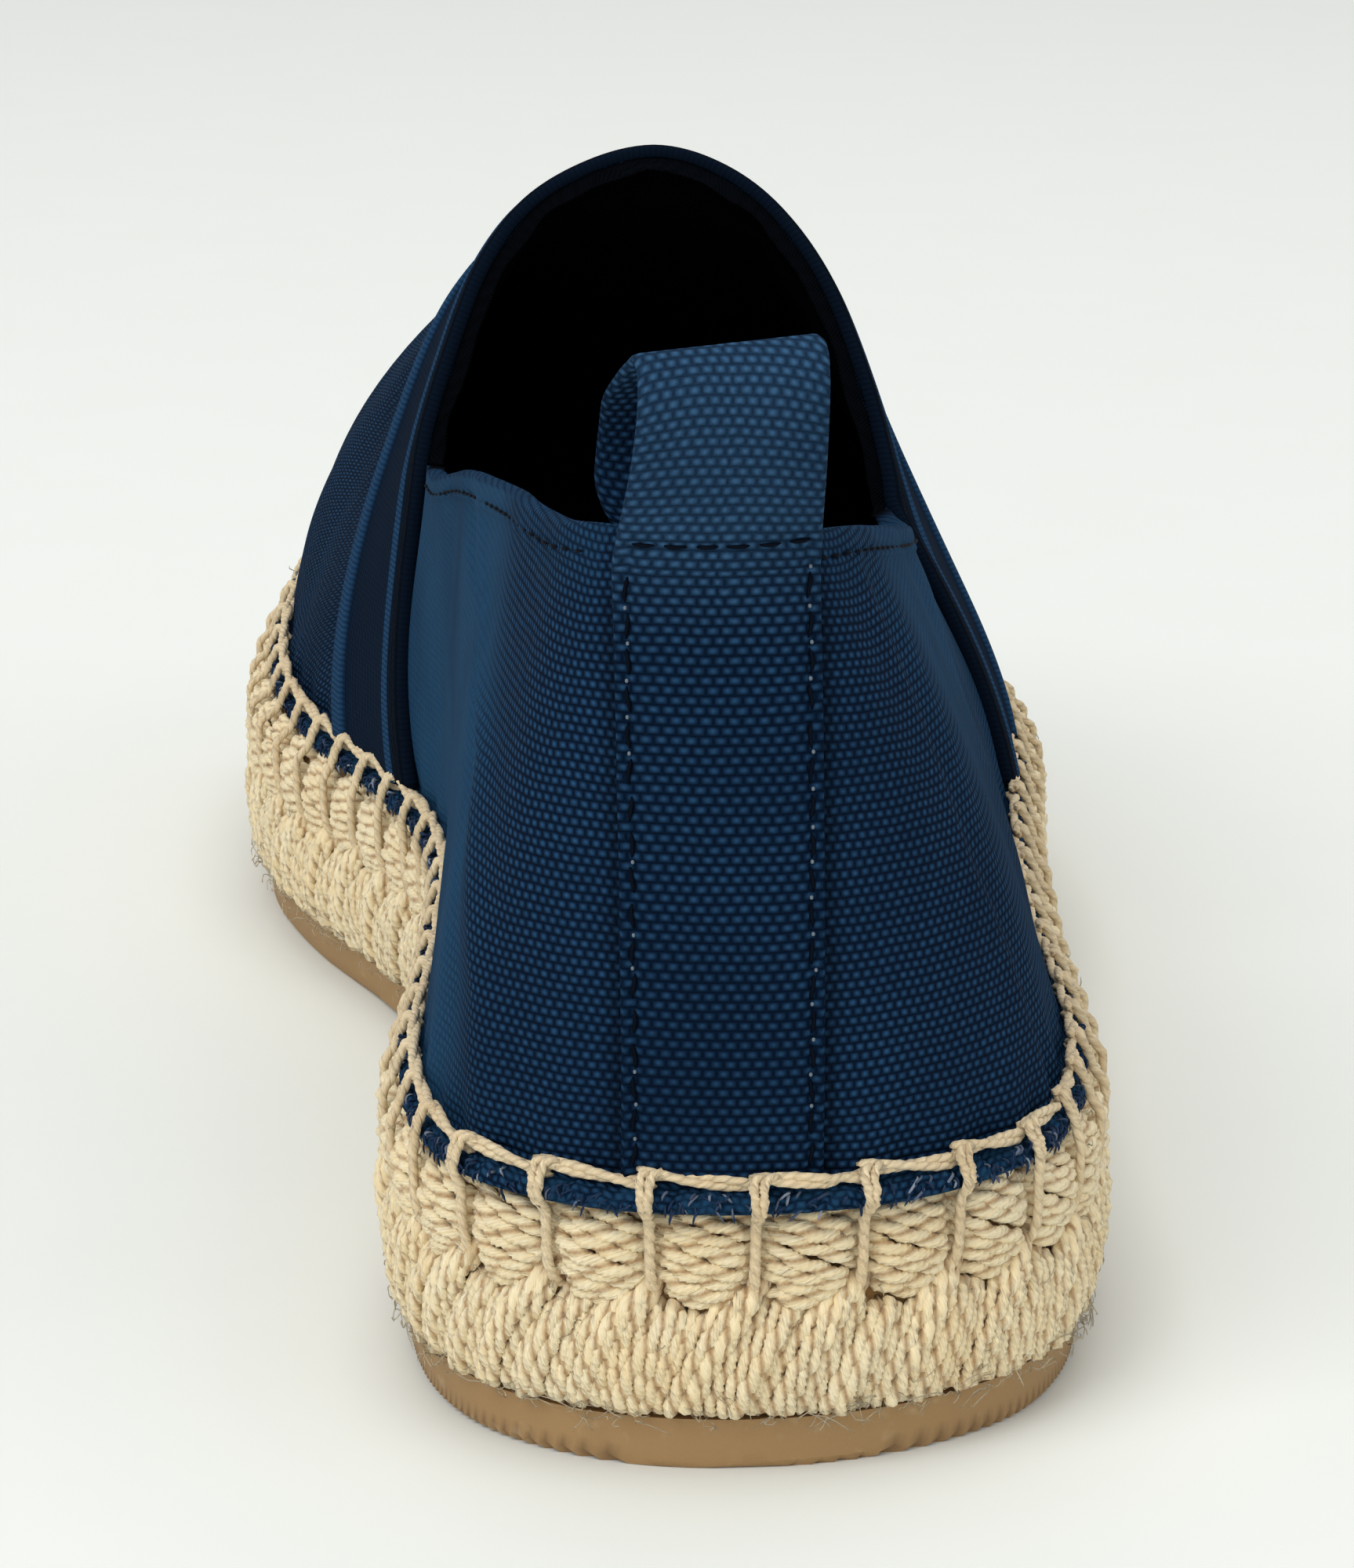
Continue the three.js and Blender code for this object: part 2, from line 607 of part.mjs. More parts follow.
const espadrille = new THREE.Group();
for (const [name, geometry, material] of pieces) {
  const mesh = new THREE.Mesh(geometry, material);
  mesh.name = name;
  espadrille.add(mesh);
}

export default espadrille;
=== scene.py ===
"""Right espadrille: canvas upper, heel webbing with a pull loop, throat tape, jute plait and rubber
outsole. Shapes are worked out in millimetres, with y measured from the back of the outsole, and
go into the meshes in metres in the shared frame."""
import math

import bpy
import numpy as np
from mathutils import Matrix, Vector


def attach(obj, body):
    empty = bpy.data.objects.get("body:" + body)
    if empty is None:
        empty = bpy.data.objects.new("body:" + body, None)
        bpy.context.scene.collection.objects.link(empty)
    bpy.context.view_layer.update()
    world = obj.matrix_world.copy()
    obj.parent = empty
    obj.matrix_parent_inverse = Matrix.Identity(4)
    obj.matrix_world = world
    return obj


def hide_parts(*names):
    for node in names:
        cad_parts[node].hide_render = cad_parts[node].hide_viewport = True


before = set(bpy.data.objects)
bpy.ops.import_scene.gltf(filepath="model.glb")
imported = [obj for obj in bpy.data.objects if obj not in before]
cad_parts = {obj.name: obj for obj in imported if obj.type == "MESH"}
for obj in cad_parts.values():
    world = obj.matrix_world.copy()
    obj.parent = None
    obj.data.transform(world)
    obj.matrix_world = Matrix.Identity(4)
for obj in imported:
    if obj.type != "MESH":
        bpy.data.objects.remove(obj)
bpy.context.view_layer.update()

MILLIMETRE = 0.001

# Sizes of the shoe, in millimetres
SOLE_LENGTH = 260
HEEL_WIDTH = 63
HEEL_SHARE = 0.35  # share of the length over which the sole follows the heel's width
BALL_WIDTH = 86
HEEL_SEAT = 32
OUTSOLE_THICK = 4.6
EDGE_ROUND = 0.7
LOWER_ROW = 11.6
UPPER_ROW = 7.7
TOE_SPRING = 8.5
SPRING_START = 0.71
CANVAS_WALL = 1.6
FEATHER_INSET = 2.2
HEM_HEIGHT = 2.5
HEEL_HEIGHT = 57
THROAT_HEIGHT = 68.5
THROAT_FOOT = 127
THROAT_LEAN = 0.351
THROAT_SKEW = 0.06
CORNER = 0.52
SWELL = 2.6
TAPE_WIDTH = 24
TAPE_THICK = 0.8
TAPE_STEP = 0.5
TAPE_OVERHANG = 0.3
WEBBING_WIDTH = 17
WEBBING_THICK = 1.2
WEBBING_CENTRE = -6
LOOP_HEIGHT = 17.5
LOOP_DEPTH = 8.5
LOOP_TUCK = 13
INSOLE_THICK = 3
GAP = 0.3
JUTE_BOTTOM = OUTSOLE_THICK + GAP
JUTE_MIDDLE = JUTE_BOTTOM + LOWER_ROW
JUTE_TOP = JUTE_MIDDLE + UPPER_ROW
UPPER_FLOOR = JUTE_TOP + GAP
HEM_TOP = UPPER_FLOOR + HEM_HEIGHT
STITCHES = 68  # blanket stitches round the sole, one for each leaf of the upper row
YARN_RADIUS = 0.93
YARN_WAIST = 0.2
YARN_STEPS = 22
THREAD_TWIST = 2.6
COLLAR_SEAM = 0.966  # climb of the seam below the collar
BAND_HALF = 0.45  # half the thickness of the webbing as it lies on the canvas
BAND_OFF = 0.12  # from the canvas to the back of the webbing
SEAM_LINE = 7.35  # from the middle of the webbing to its stitched lines

# Outline of the sole: along, medial, lateral (shares of the width there), medial and lateral inset
SOLE = np.array([
    [0.000, -0.048, -0.048, -0.7, -0.7],
    [0.010, -0.254, 0.154, -0.7, -0.6],
    [0.038, -0.405, 0.329, -0.3, 0.1],
    [0.077, -0.481, 0.424, 0.4, 0.6],
    [0.150, -0.510, 0.490, 0.8, 0.9],
    [0.230, -0.476, 0.510, 0.7, 1.0],
    [0.308, -0.437, 0.522, 0.4, 1.1],
    [0.385, -0.298, 0.401, 0.1, 1.0],
    [0.462, -0.313, 0.421, 0.1, 0.8],
    [0.538, -0.378, 0.453, 0.5, 0.9],
    [0.615, -0.459, 0.481, 1.0, 1.2],
    [0.692, -0.509, 0.487, 1.4, 1.4],
    [0.769, -0.512, 0.469, 1.2, 1.2],
    [0.846, -0.487, 0.426, 1.0, 1.0],
    [0.923, -0.433, 0.331, 1.0, 1.0],
    [0.969, -0.366, 0.213, 1.0, 1.0],
    [0.992, -0.267, 0.062, 1.0, 1.0],
    [1.000, -0.098, -0.098, 1.0, 1.0],
])
# Collar: share of the way, along, medial, lateral, medial top, lateral top
COLLAR = np.array([
    [0.00, 0.037, -0.095, -0.095, 1.000, 1.000],
    [0.08, 0.043, -0.168, -0.029, 1.007, 1.003],
    [0.16, 0.067, -0.238, 0.044, 1.007, 0.997],
    [0.25, 0.144, -0.298, 0.116, 0.977, 0.963],
    [0.44, 0.359, -0.343, 0.219, 0.912, 0.849],
    [0.70, 0.647, -0.390, 0.317, 0.796, 0.700],
    [0.88, 0.849, -0.420, 0.357, 0.684, 0.600],
    [1.00, 1.000, -0.425, 0.370, 0.640, 0.563],
])
# Throat: share of the way, medial, lateral, top
THROAT = np.array([
    [0.00, -0.425, 0.370, 0.00],
    [0.12, -0.412, 0.360, 0.12],
    [0.28, -0.372, 0.328, 0.35],
    [0.46, -0.312, 0.266, 0.63],
    [0.64, -0.233, 0.184, 0.83],
    [0.82, -0.128, 0.090, 0.950],
    [1.00, -0.017, -0.017, 1.00],
])
# Section of the upper: share of the way, rise, lean, reach, spread, drop, medial and lateral swell
SECTION = np.array([
    [0.00, 0.36, 0.00, 0.70, 0.60, 0.36, 0.70, 0.70],
    [0.06, 0.36, 0.06, 0.62, 0.50, 0.36, 0.50, 0.40],
    [0.13, 0.36, 0.20, 0.60, 0.42, 0.34, 0.40, 0.10],
    [0.30, 0.35, 0.25, 0.60, 0.40, 0.34, 0.30, 0.00],
    [0.52, 0.34, 0.15, 0.55, 0.34, 0.32, 0.40, 0.00],
    [0.60, 0.30, 0.08, 0.46, 0.20, 0.28, 0.20, 0.00],
    [0.70, 0.28, 0.05, 0.42, 0.16, 0.27, 0.10, 0.00],
    [0.85, 0.38, 0.00, 0.38, 0.28, 0.32, 0.20, 0.10],
    [1.00, 0.41, 0.00, 0.36, 0.36, 0.36, -0.50, -0.50],
])
# Centre line of the pull loop: shares of LOOP_DEPTH ahead of the collar and LOOP_HEIGHT over it
LOOP = np.array([
    [-0.16, 0.12],
    [-0.26, 0.45],
    [-0.20, 0.85],
    [0.06, 1.00],
    [0.44, 0.86],
    [0.86, 0.56],
    [0.96, 0.28],
    [0.74, 0.02],
])


# Shapes of the last

def stack(*parts):
    """Points from separate x, y and z arrays."""
    return np.stack(np.broadcast_arrays(*parts), -1)


def unit(v):
    """Vectors divided by their own lengths."""
    return v / np.maximum(np.linalg.norm(v, axis=-1, keepdims=True), 1e-9)


def step(low, high, x):
    """Smooth rise from 0 at low to 1 at high: 3u squared less 2u cubed."""
    u = np.clip((x - low) / (high - low), 0, 1)
    return u * u * (3 - 2 * u)


def bell(x, half):
    """Bell curve: e to the power of minus the square of x over half."""
    return np.exp(-((x / half) ** 2))


def read(table, column, at, level_start=False, level_end=False):
    """Smooth value of one column at shares of the way: a cubic between rows whose slope at each
    row is that from the row before to the row after."""
    x, y = table[:, 0], table[:, column]
    slope = np.gradient(y, x)
    slope[1:-1] = (y[2:] - y[:-2]) / (x[2:] - x[:-2])
    if level_start:
        slope[0] = 0
    if level_end:
        slope[-1] = 0
    i = np.clip(np.searchsorted(x, at) - 1, 0, len(x) - 2)
    span = x[i + 1] - x[i]
    u = (at - x[i]) / span
    u2, u3 = u * u, u * u * u
    ends = y[i] * (2 * u3 - 3 * u2 + 1) + y[i + 1] * (3 * u2 - 2 * u3)
    return ends + span * (slope[i] * (u3 - 2 * u2 + u) + slope[i + 1] * (u3 - u2))


def through(points, u, closed):
    """Smooth curve through points, at shares of its length in rows: between two points, the cubic
    whose end slopes weigh the neighbours by the root of their distances."""
    n = len(points)
    if closed:
        where = np.asarray(u) * n
        k = np.floor(where).astype(int)
        rows = [points[(k + j) % n] for j in (-1, 0, 1, 2)]
    else:
        where = np.asarray(u) * (n - 1)
        k = np.clip(np.floor(where).astype(int), 0, n - 2)
        padded = np.vstack([2 * points[0] - points[1], points, 2 * points[-1] - points[-2]])
        rows = [padded[k + j] for j in (0, 1, 2, 3)]
    w = (where - k)[:, None]
    p0, p1, p2, p3 = rows
    d0, d1, d2 = (
        np.sum((b - a) ** 2, 1, keepdims=True) ** 0.25 for a, b in ((p0, p1), (p1, p2), (p2, p3))
    )
    t1 = ((p1 - p0) / d0 - (p2 - p0) / (d0 + d1) + (p2 - p1) / d1) * d1
    t2 = ((p2 - p1) / d1 - (p3 - p1) / (d1 + d2) + (p3 - p2) / d2) * d1
    w2, w3 = w * w, w * w * w
    return (
        p1 * (2 * w3 - 3 * w2 + 1)
        + p2 * (3 * w2 - 2 * w3)
        + t1 * (w3 - 2 * w2 + w)
        + t2 * (w3 - w2)
    )


def outline():
    """Both sides of the sole in plan, heel to toe: lengths, x, y, inset and outward direction."""
    width = np.where(SOLE[:, 0] < HEEL_SHARE, HEEL_WIDTH, BALL_WIDTH)
    scale = stack(width, SOLE_LENGTH, 1)
    inner, outer = SOLE[:, [1, 0, 3]] * scale, SOLE[:, [2, 0, 4]] * scale
    ring = np.vstack([inner, outer[1:-1][::-1]])
    count = 1440
    line = through(ring, np.arange(count) / count, True)
    ahead = np.roll(line, -2, 0) - np.roll(line, 2, 0)
    out = unit(np.stack([-ahead[:, 1], ahead[:, 0]], 1))
    whole = np.hstack([line, out])
    sides = []
    for pick in (np.arange(count // 2 + 1), -np.arange(count // 2 + 1)):
        side = whole[pick % count]
        steps = np.hypot(np.diff(side[:, 0]), np.diff(side[:, 1]))
        sides.append(np.column_stack([np.concatenate([[0], np.cumsum(steps)]), side]))
    return sides


MEDIAL, LATERAL = outline()
MEDIAL_LENGTH = MEDIAL[-1, 0]
LATERAL_LENGTH = LATERAL[-1, 0]
ROUND = MEDIAL_LENGTH + LATERAL_LENGTH


def signed(t):
    """Share of the way round a side, brought back between -1 and 1 where it runs past the toe."""
    return (np.asarray(t, float) + 1) % 2 - 1


def edge(t):
    """Columns x, y, inset, outward x and y of the outline. t is negative on the inner side, 0 at
    the heel and 1 or -1 at the toe."""
    t = signed(t)
    s = np.abs(t)
    pick = []
    for column in range(1, 6):
        inner = np.interp(s * MEDIAL_LENGTH, MEDIAL[:, 0], MEDIAL[:, column])
        outer = np.interp(s * LATERAL_LENGTH, LATERAL[:, 0], LATERAL[:, column])
        pick.append(np.where(t < 0, inner, outer))
    return pick


def turn_at(a):
    """Signed share t at a distance a round the edge from the heel, positive on the outer side."""
    a = (np.asarray(a, float) + MEDIAL_LENGTH) % ROUND - MEDIAL_LENGTH
    return np.where(a < 0, a / MEDIAL_LENGTH, a / LATERAL_LENGTH)


def arc_at(t):
    """Distance round the edge from the heel at a signed share t."""
    return np.where(t < 0, t * MEDIAL_LENGTH, t * LATERAL_LENGTH)


def spring(y):
    """Rise towards the toe: a square law from the share SPRING_START of the length."""
    start = SPRING_START * SOLE_LENGTH
    over = np.maximum(y - start, 0) / (SOLE_LENGTH - start)
    return TOE_SPRING * over * over


def beside(t, outward, height):
    """Point outward from the outline by a distance, at a height over the sprung floor."""
    x, y, _, ox, oy = edge(t)
    y = y + oy * outward
    return stack(x + ox * outward, y, height + spring(y))


def foot(t, height=HEM_TOP, outward=0.0):
    """Foot of the canvas, set in from the outline by its inset."""
    return beside(t, outward - edge(t)[2] * FEATHER_INSET, height)


def throat_line(x, z):
    """Distance from the back of the sole to the plane of the throat."""
    return THROAT_FOOT + THROAT_LEAN * (z - HEM_TOP) - THROAT_SKEW * x


def rim(t):
    """Edge of the upper: the collar behind the corner, the throat ahead of it."""
    t = signed(t)
    s = np.abs(t)
    inner = t < 0
    at = np.minimum(s / CORNER, 1)
    side = np.where(inner, read(COLLAR, 2, at), read(COLLAR, 3, at))
    level = np.where(inner, read(COLLAR, 4, at, True), read(COLLAR, 5, at, True))
    end = np.where(inner, COLLAR[-1, 2], COLLAR[-1, 3]) * HEEL_WIDTH
    corner = UPPER_FLOOR + np.where(inner, COLLAR[-1, 4], COLLAR[-1, 5]) * HEEL_HEIGHT
    reach = throat_line(end, corner)
    collar = stack(
        side * HEEL_WIDTH,
        read(COLLAR, 1, at, True) * reach,
        UPPER_FLOOR + level * HEEL_HEIGHT,
    )
    on = np.clip((s - CORNER) / (1 - CORNER), 0, 1)
    x = np.where(inner, read(THROAT, 1, on), read(THROAT, 2, on)) * HEEL_WIDTH
    top = read(THROAT, 3, on, False, True)
    z = corner + (UPPER_FLOOR + THROAT_HEIGHT - corner) * top
    throat = stack(x, throat_line(x, z), z)
    return np.where((s <= CORNER)[..., None], collar, throat)


def wall(t, climb):
    """Outer face of the upper: a cubic curve from the foot to the rim, with its two inner points
    from SECTION."""
    t, climb = np.broadcast_arrays(np.asarray(t, float), np.asarray(climb, float))
    low = foot(t)
    high = rim(t)
    _, _, _, ox, oy = edge(t)
    side = signed(t)
    rise, lean, reach, spread, drop, inner, outer = (
        read(SECTION, k, np.abs(side), True, True) for k in range(1, 8)
    )
    swell = SWELL * np.where(side < 0, inner, outer)
    gone = high - low
    first = low + stack(ox * swell + gone[..., 0] * lean, oy * swell, rise * gone[..., 2])
    second = high - stack(gone[..., 0] * spread, gone[..., 1] * reach, drop * gone[..., 2])
    v = climb[..., None]
    w = 1 - v
    return w**3 * low + 3 * w * w * v * first + 3 * w * v * v * second + v**3 * high


def normal_at(t, climb):
    """Outward direction of the wall, from neighbours a little along and a little up."""
    d = 0.004
    along = wall(t + d, climb) - wall(t - d, climb)
    up = wall(t, climb + d) - wall(t, climb - d)
    return unit(np.cross(along, up))


def on_wall(t, climb, off=0.0):
    """Place on the wall moved off it along its normal."""
    return wall(t, climb) + normal_at(t, climb) * np.asarray(off)[..., None]


def solve(low, high, goal, rising):
    """Number between low and high where a rising function reaches the goal, by halving."""
    halvings = 26
    a = np.broadcast_to(np.asarray(low, float), np.shape(goal)).copy()
    b = np.broadcast_to(np.asarray(high, float), np.shape(goal)).copy()
    for _ in range(halvings):
        mid = (a + b) / 2
        less = rising(mid) < goal
        a = np.where(less, mid, a)
        b = np.where(less, b, mid)
    return (a + b) / 2


def lengths(points, axis):
    """Running length along one axis of a grid of points, starting at 0."""
    gaps = np.linalg.norm(np.diff(points, axis=axis), axis=-1)
    start = np.zeros_like(np.take(gaps, [0], axis=axis))
    return np.concatenate([start, np.cumsum(gaps, axis=axis)], axis=axis)


# Meshes

def quads(rows, cols, ring_rows=False, ring_cols=False):
    """Faces of a grid, row after row, facing out where rows climb and columns run to the right."""
    r, c = np.meshgrid(
        np.arange(rows if ring_rows else rows - 1),
        np.arange(cols if ring_cols else cols - 1),
        indexing="ij",
    )
    r2, c2 = (r + 1) % rows, (c + 1) % cols
    faces = np.stack([r * cols + c, r * cols + c2, r2 * cols + c2, r2 * cols + c], -1)
    return faces.reshape(-1, 4)


def piece(name, points, faces, finish, stands_for=(), cloth=None, tone=None):
    """Mesh from points in millimetres. cloth is the place on the cloth in millimetres and tone a
    number from -1 to 1, both read by the finish."""
    mesh = bpy.data.meshes.new(name)
    flat = (points.reshape(-1, 3) - [0, HEEL_SEAT, 0]) * MILLIMETRE
    mesh.from_pydata(flat.tolist(), [], faces)
    mesh.polygons.foreach_set("use_smooth", np.ones(len(mesh.polygons), bool))
    for label, kind, field, values in (
        ("cloth", "FLOAT_VECTOR", "vector", cloth), ("tone", "FLOAT", "value", tone)
    ):
        if values is not None:
            layer = mesh.attributes.new(label, kind, "POINT")
            layer.data.foreach_set(field, np.ascontiguousarray(values, np.float32).ravel())
    mesh.materials.append(finish)
    mesh.update()
    made = bpy.data.objects.new(name, mesh)
    bpy.context.scene.collection.objects.link(made)
    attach(made, "root")
    if stands_for:
        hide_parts(*stands_for)
    return made


def tubes(paths, radius, sides, up, turn=None, flat=1.0, taper=1, waist=0.0):
    """Tubes round many paths of equal count. A ring's points lie on an oval, round where flat is 1
    and drawn in at both flat sides by waist, that turns with the angle turn. The ends are blunt,
    or round over taper steps."""
    blunt, tip = 0.35, 0.12
    many, count = paths.shape[:2]
    along = unit(np.gradient(paths, axis=1))
    across = unit(np.cross(along, np.broadcast_to(up, paths.shape)))
    out = np.cross(across, along)
    angle = np.arange(sides) * 2 * np.pi / sides
    spin = np.zeros((many, count)) if turn is None else turn
    radius = np.broadcast_to(radius, (many, count)).copy()
    for k in range(taper):
        shrink = math.sqrt(1 - (1 - (k + tip) / taper) ** 2) if taper > 1 else blunt
        radius[:, k] *= shrink
        radius[:, -1 - k] *= shrink
    u = np.cos(angle) * radius[..., None]
    v = np.sin(angle) * radius[..., None] * flat * (1 - waist * np.sin(angle) ** 2)
    cs, sn = np.cos(spin)[..., None], np.sin(spin)[..., None]
    x, y = u * cs - v * sn, u * sn + v * cs
    points = paths[:, :, None] + across[:, :, None] * x[..., None] + out[:, :, None] * y[..., None]
    one = quads(count, sides, ring_cols=True)
    base = np.arange(many) * count * sides
    faces = (one[None] + base[:, None, None]).reshape(-1, 4).tolist()
    last = (count - 1) * sides
    caps = np.concatenate([
        base[:, None] + np.arange(sides)[::-1],
        base[:, None] + last + np.arange(sides),
    ])
    return points, faces + caps.tolist()


def tube_piece(name, parts, finish, tones, stands_for=()):
    """One piece from several sets of tubes, with a tone for each. Its cloth holds the length run
    along the tube, set apart from tube to tube, and the place round it."""
    apart = 37.31
    points, faces, tone, cloth, base = [], [], [], [], 0
    for (made, own_faces), shade in zip(parts, tones):
        faces += [[k + base for k in face] for face in own_faces]
        points.append(made.reshape(-1, 3))
        tone.append(np.broadcast_to(shade, made.shape[:3]).reshape(-1))
        many, _, sides = made.shape[:3]
        run = lengths(made.mean(2), 1)[:, :, None] + np.arange(many)[:, None, None] * apart
        ring = np.arange(sides) * 2 * np.pi / sides
        cloth.append(stack(run, np.cos(ring), np.sin(ring)).reshape(-1, 3))
        base += len(points[-1])
    return piece(
        name, np.concatenate(points), faces, finish, stands_for,
        cloth=np.concatenate(cloth), tone=np.concatenate(tone),
    )


def strap(name, face, back, cloth, tone, finish, stands_for, turned=False):
    """Flat band from the grids of its face and its back, closed along both edges and at both ends.
    turned is for a band whose rows run the other way round."""
    rows, lanes = face.shape[:2]
    cols = 2 * lanes
    tone = np.broadcast_to(tone, (rows, lanes))
    points, cloth, tone = (
        np.concatenate([a, b[:, ::-1]], 1) for a, b in ((face, back), (cloth, cloth), (tone, tone))
    )
    k = np.arange(lanes - 1)
    cap = np.stack([k, k + 1, cols - 2 - k, cols - 1 - k], 1)
    faces = np.concatenate([
        quads(rows, cols, ring_cols=True), cap[:, ::-1], cap + (rows - 1) * cols
    ])
    if turned:
        faces = faces[:, ::-1]
    return piece(name, points, faces.tolist(), finish, stands_for, cloth, tone)


# Finishes

class Wire:
    """A shader socket that takes part in sums: each operator adds the Math node it stands for."""

    def __init__(self, paint, socket):
        self.paint = paint
        self.socket = socket

    def math(self, operation, *others):
        return self.paint.math(operation, self, *others)

    def __add__(self, other):
        return self.math("ADD", other)

    __radd__ = __add__

    def __mul__(self, other):
        return self.math("MULTIPLY", other)

    __rmul__ = __mul__

    def __sub__(self, other):
        return self.math("SUBTRACT", other)

    def __rsub__(self, other):
        return self.paint.math("SUBTRACT", other, self)

    def __truediv__(self, other):
        return self.math("DIVIDE", other)

    def __pow__(self, other):
        return self.math("POWER", other)

    def __abs__(self):
        return self.math("ABSOLUTE")

    def sin(self):
        return self.math("SINE")

    def fract(self):
        return self.math("FRACT")

    def floor(self):
        return self.math("FLOOR")

    def least(self, other):
        return self.math("MINIMUM", other)

    def most(self, other):
        return self.math("MAXIMUM", other)

    def held(self):
        """The value held between 0 and 1."""
        return self.most(0.0).least(1.0)

    def ramp(self, low, high):
        """Straight rise from 0 at low to 1 at high, held between them."""
        return ((self - low) / (high - low)).held()

    def wave(self, length):
        """Sine wave between 0 and 1 of a wave length."""
        return (self * (2 * math.pi / length)).sin() * 0.5 + 0.5


class Paint:
    """A material made of nodes, with its shader's constants set on the shader."""

    def __init__(self, name, **constants):
        self.material = bpy.data.materials.new(name)
        self.material.use_nodes = True
        self.tree = self.material.node_tree
        self.shader = self.tree.nodes["Principled BSDF"]
        for socket, value in constants.items():
            self.shader.inputs[socket.replace("_", " ")].default_value = value

    def node(self, kind, settings=None, outlet=0, **sockets):
        """Any node: its settings first, then the values or wires of its sockets, by name or as
        in_0, in_1 and so on by place."""
        made = self.tree.nodes.new(kind)
        for key, value in (settings or {}).items():
            setattr(made, key, value)
        for key, value in sockets.items():
            spot = int(key[3:]) if key.startswith("in_") else key.replace("_", " ")
            self.plug(made.inputs[spot], value)
        return Wire(self, made.outputs[outlet])

    def plug(self, socket, value):
        if isinstance(value, Wire):
            self.tree.links.new(value.socket, socket)
        else:
            socket.default_value = value

    def math(self, operation, *values):
        sockets = {f"in_{i}": value for i, value in enumerate(values)}
        return self.node("ShaderNodeMath", {"operation": operation}, **sockets)

    def mix(self, a, b, factor):
        """Colour between a and b."""
        return self.node(
            "ShaderNodeMix", {"data_type": "RGBA"}, outlet=2, in_0=factor, in_6=a, in_7=b
        )

    def noise(self, place, scale, detail=2.0, rough=0.5):
        return self.node(
            "ShaderNodeTexNoise", Vector=place, Scale=scale, Detail=detail, Roughness=rough
        )

    def place(self):
        """Place on the object in metres."""
        return self.node("ShaderNodeTexCoord", outlet=3)

    def tone(self):
        """The tone that the piece holds."""
        return self.node("ShaderNodeAttribute", {"attribute_name": "tone"}, outlet=2)

    def cloth(self):
        """The three numbers of the place on the cloth, and all of it as a vector."""
        whole = self.node("ShaderNodeAttribute", {"attribute_name": "cloth"}, outlet=1)
        return *self.apart(whole), whole

    def apart(self, vector):
        """x, y and z of a vector."""
        return [self.node("ShaderNodeSeparateXYZ", outlet=i, Vector=vector) for i in range(3)]

    def finish(self, base, roughness, relief=None, height=0.0):
        """Colour, roughness and, where there is one, a relief of a height in millimetres."""
        inputs = self.shader.inputs
        self.plug(inputs["Base Color"], base)
        self.plug(inputs["Roughness"], roughness)
        if relief is not None:
            bump = self.node("ShaderNodeBump", Height=relief, Distance=height * MILLIMETRE)
            self.plug(inputs["Normal"], bump)
        return self.material


def tint(red, green, blue):
    """Colour from display values of 0 to 255, by the display curve of the sRGB standard."""
    shares = (red / 255, green / 255, blue / 255)
    linear = [c / 12.92 if c <= 0.04045 else ((c + 0.055) / 1.055) ** 2.4 for c in shares]
    return (*linear, 1.0)


def weave(u, v, pitch, row):
    """Height of a plain weave: rows of beads, each row set half a bead along from the last. A bead
    falls off by a power of the distance from its middle."""
    lane = v / row
    odd = (lane.floor() * 0.5).fract()
    across = abs((u / pitch + odd).fract() * 2 - 1)
    up = abs(lane.fract() * 2 - 1)
    return (1 - across**1.5) * (1 - up**2.0)


def canvas_finish(name, pitch, row, light, dark, wear, bump):
    """Woven cloth: beads of the weave, slubs in the threads, a rubbed nap where the tone is high,
    and a near-black colour where it is below zero: the lining, darkened in part as painted shade
    inside the shoe, and a painted contact shadow beside the heel webbing."""
    paint = Paint(name, Specular_IOR_Level=0.03)
    u, v, _, whole = paint.cloth()
    tone = paint.tone()
    rub = tone.held()
    # inside: mask of the near-black colour, for the lining and for painted shade
    inside = (tone * -1).held()
    place = paint.place()
    sway = paint.noise(place, 190.0, 2.0) - 0.5
    u = u + sway * 0.5
    v = v + sway * 0.35
    height = weave(u, v, pitch, row)
    slub = paint.noise(whole, 0.8, 3.0, 0.6)
    fuzz = paint.noise(place, 2600.0, 3.0, 0.7)
    broad = paint.noise(place, 30.0, 3.0, 0.5)
    shade = (height**1.5 * (0.25 + slub * 1.15) + fuzz * 0.16 - 0.08).held()
    base = paint.mix(dark, light, shade)
    worn = rub * (0.35 + fuzz) * (rub + (1 - rub) * height**1.8 * 2.6)
    base = paint.mix(base, wear, worn.held())
    base = paint.mix(base, dark, ((0.55 - broad).most(0.0) * 1.6).held())
    # Painted shade: tone below zero turns the canvas near-black, inside the shoe and in a line beside
    # the webbing
    base = paint.mix(base, tint(5, 8, 14), inside)
    relief = height * (1 - rub * 0.75) + fuzz * 0.35
    return paint.finish(base, 0.9 + fuzz * 0.08, relief, bump)


canvas = canvas_finish(
    "navy_canvas", 1.07, 0.80, tint(42, 80, 118), tint(7, 22, 42), tint(32, 68, 98), 0.36
)
webbing = canvas_finish(
    "navy_webbing", 1.18, 0.84, tint(32, 66, 100), tint(5, 20, 40), tint(66, 104, 140), 0.42
)


def lining_finish():
    """Near-black cotton lining with a fine twill; the dark colour stands partly for painted shade
    inside the shoe.
    """
    paint = Paint("dark_lining", Specular_IOR_Level=0.05)
    x, y, z = paint.apart(paint.place())
    twill = (x + y + z).wave(0.0011)
    broad = paint.noise(paint.place(), 60.0, 3.0)
    # Near-black colours: partly the lining's own dark colour, partly painted shade.
    base = paint.mix(tint(4, 6, 11), tint(10, 15, 25), (twill * 0.5 + broad * 0.5).held())
    return paint.finish(base, 0.9 + broad * 0.08, twill, 0.08)


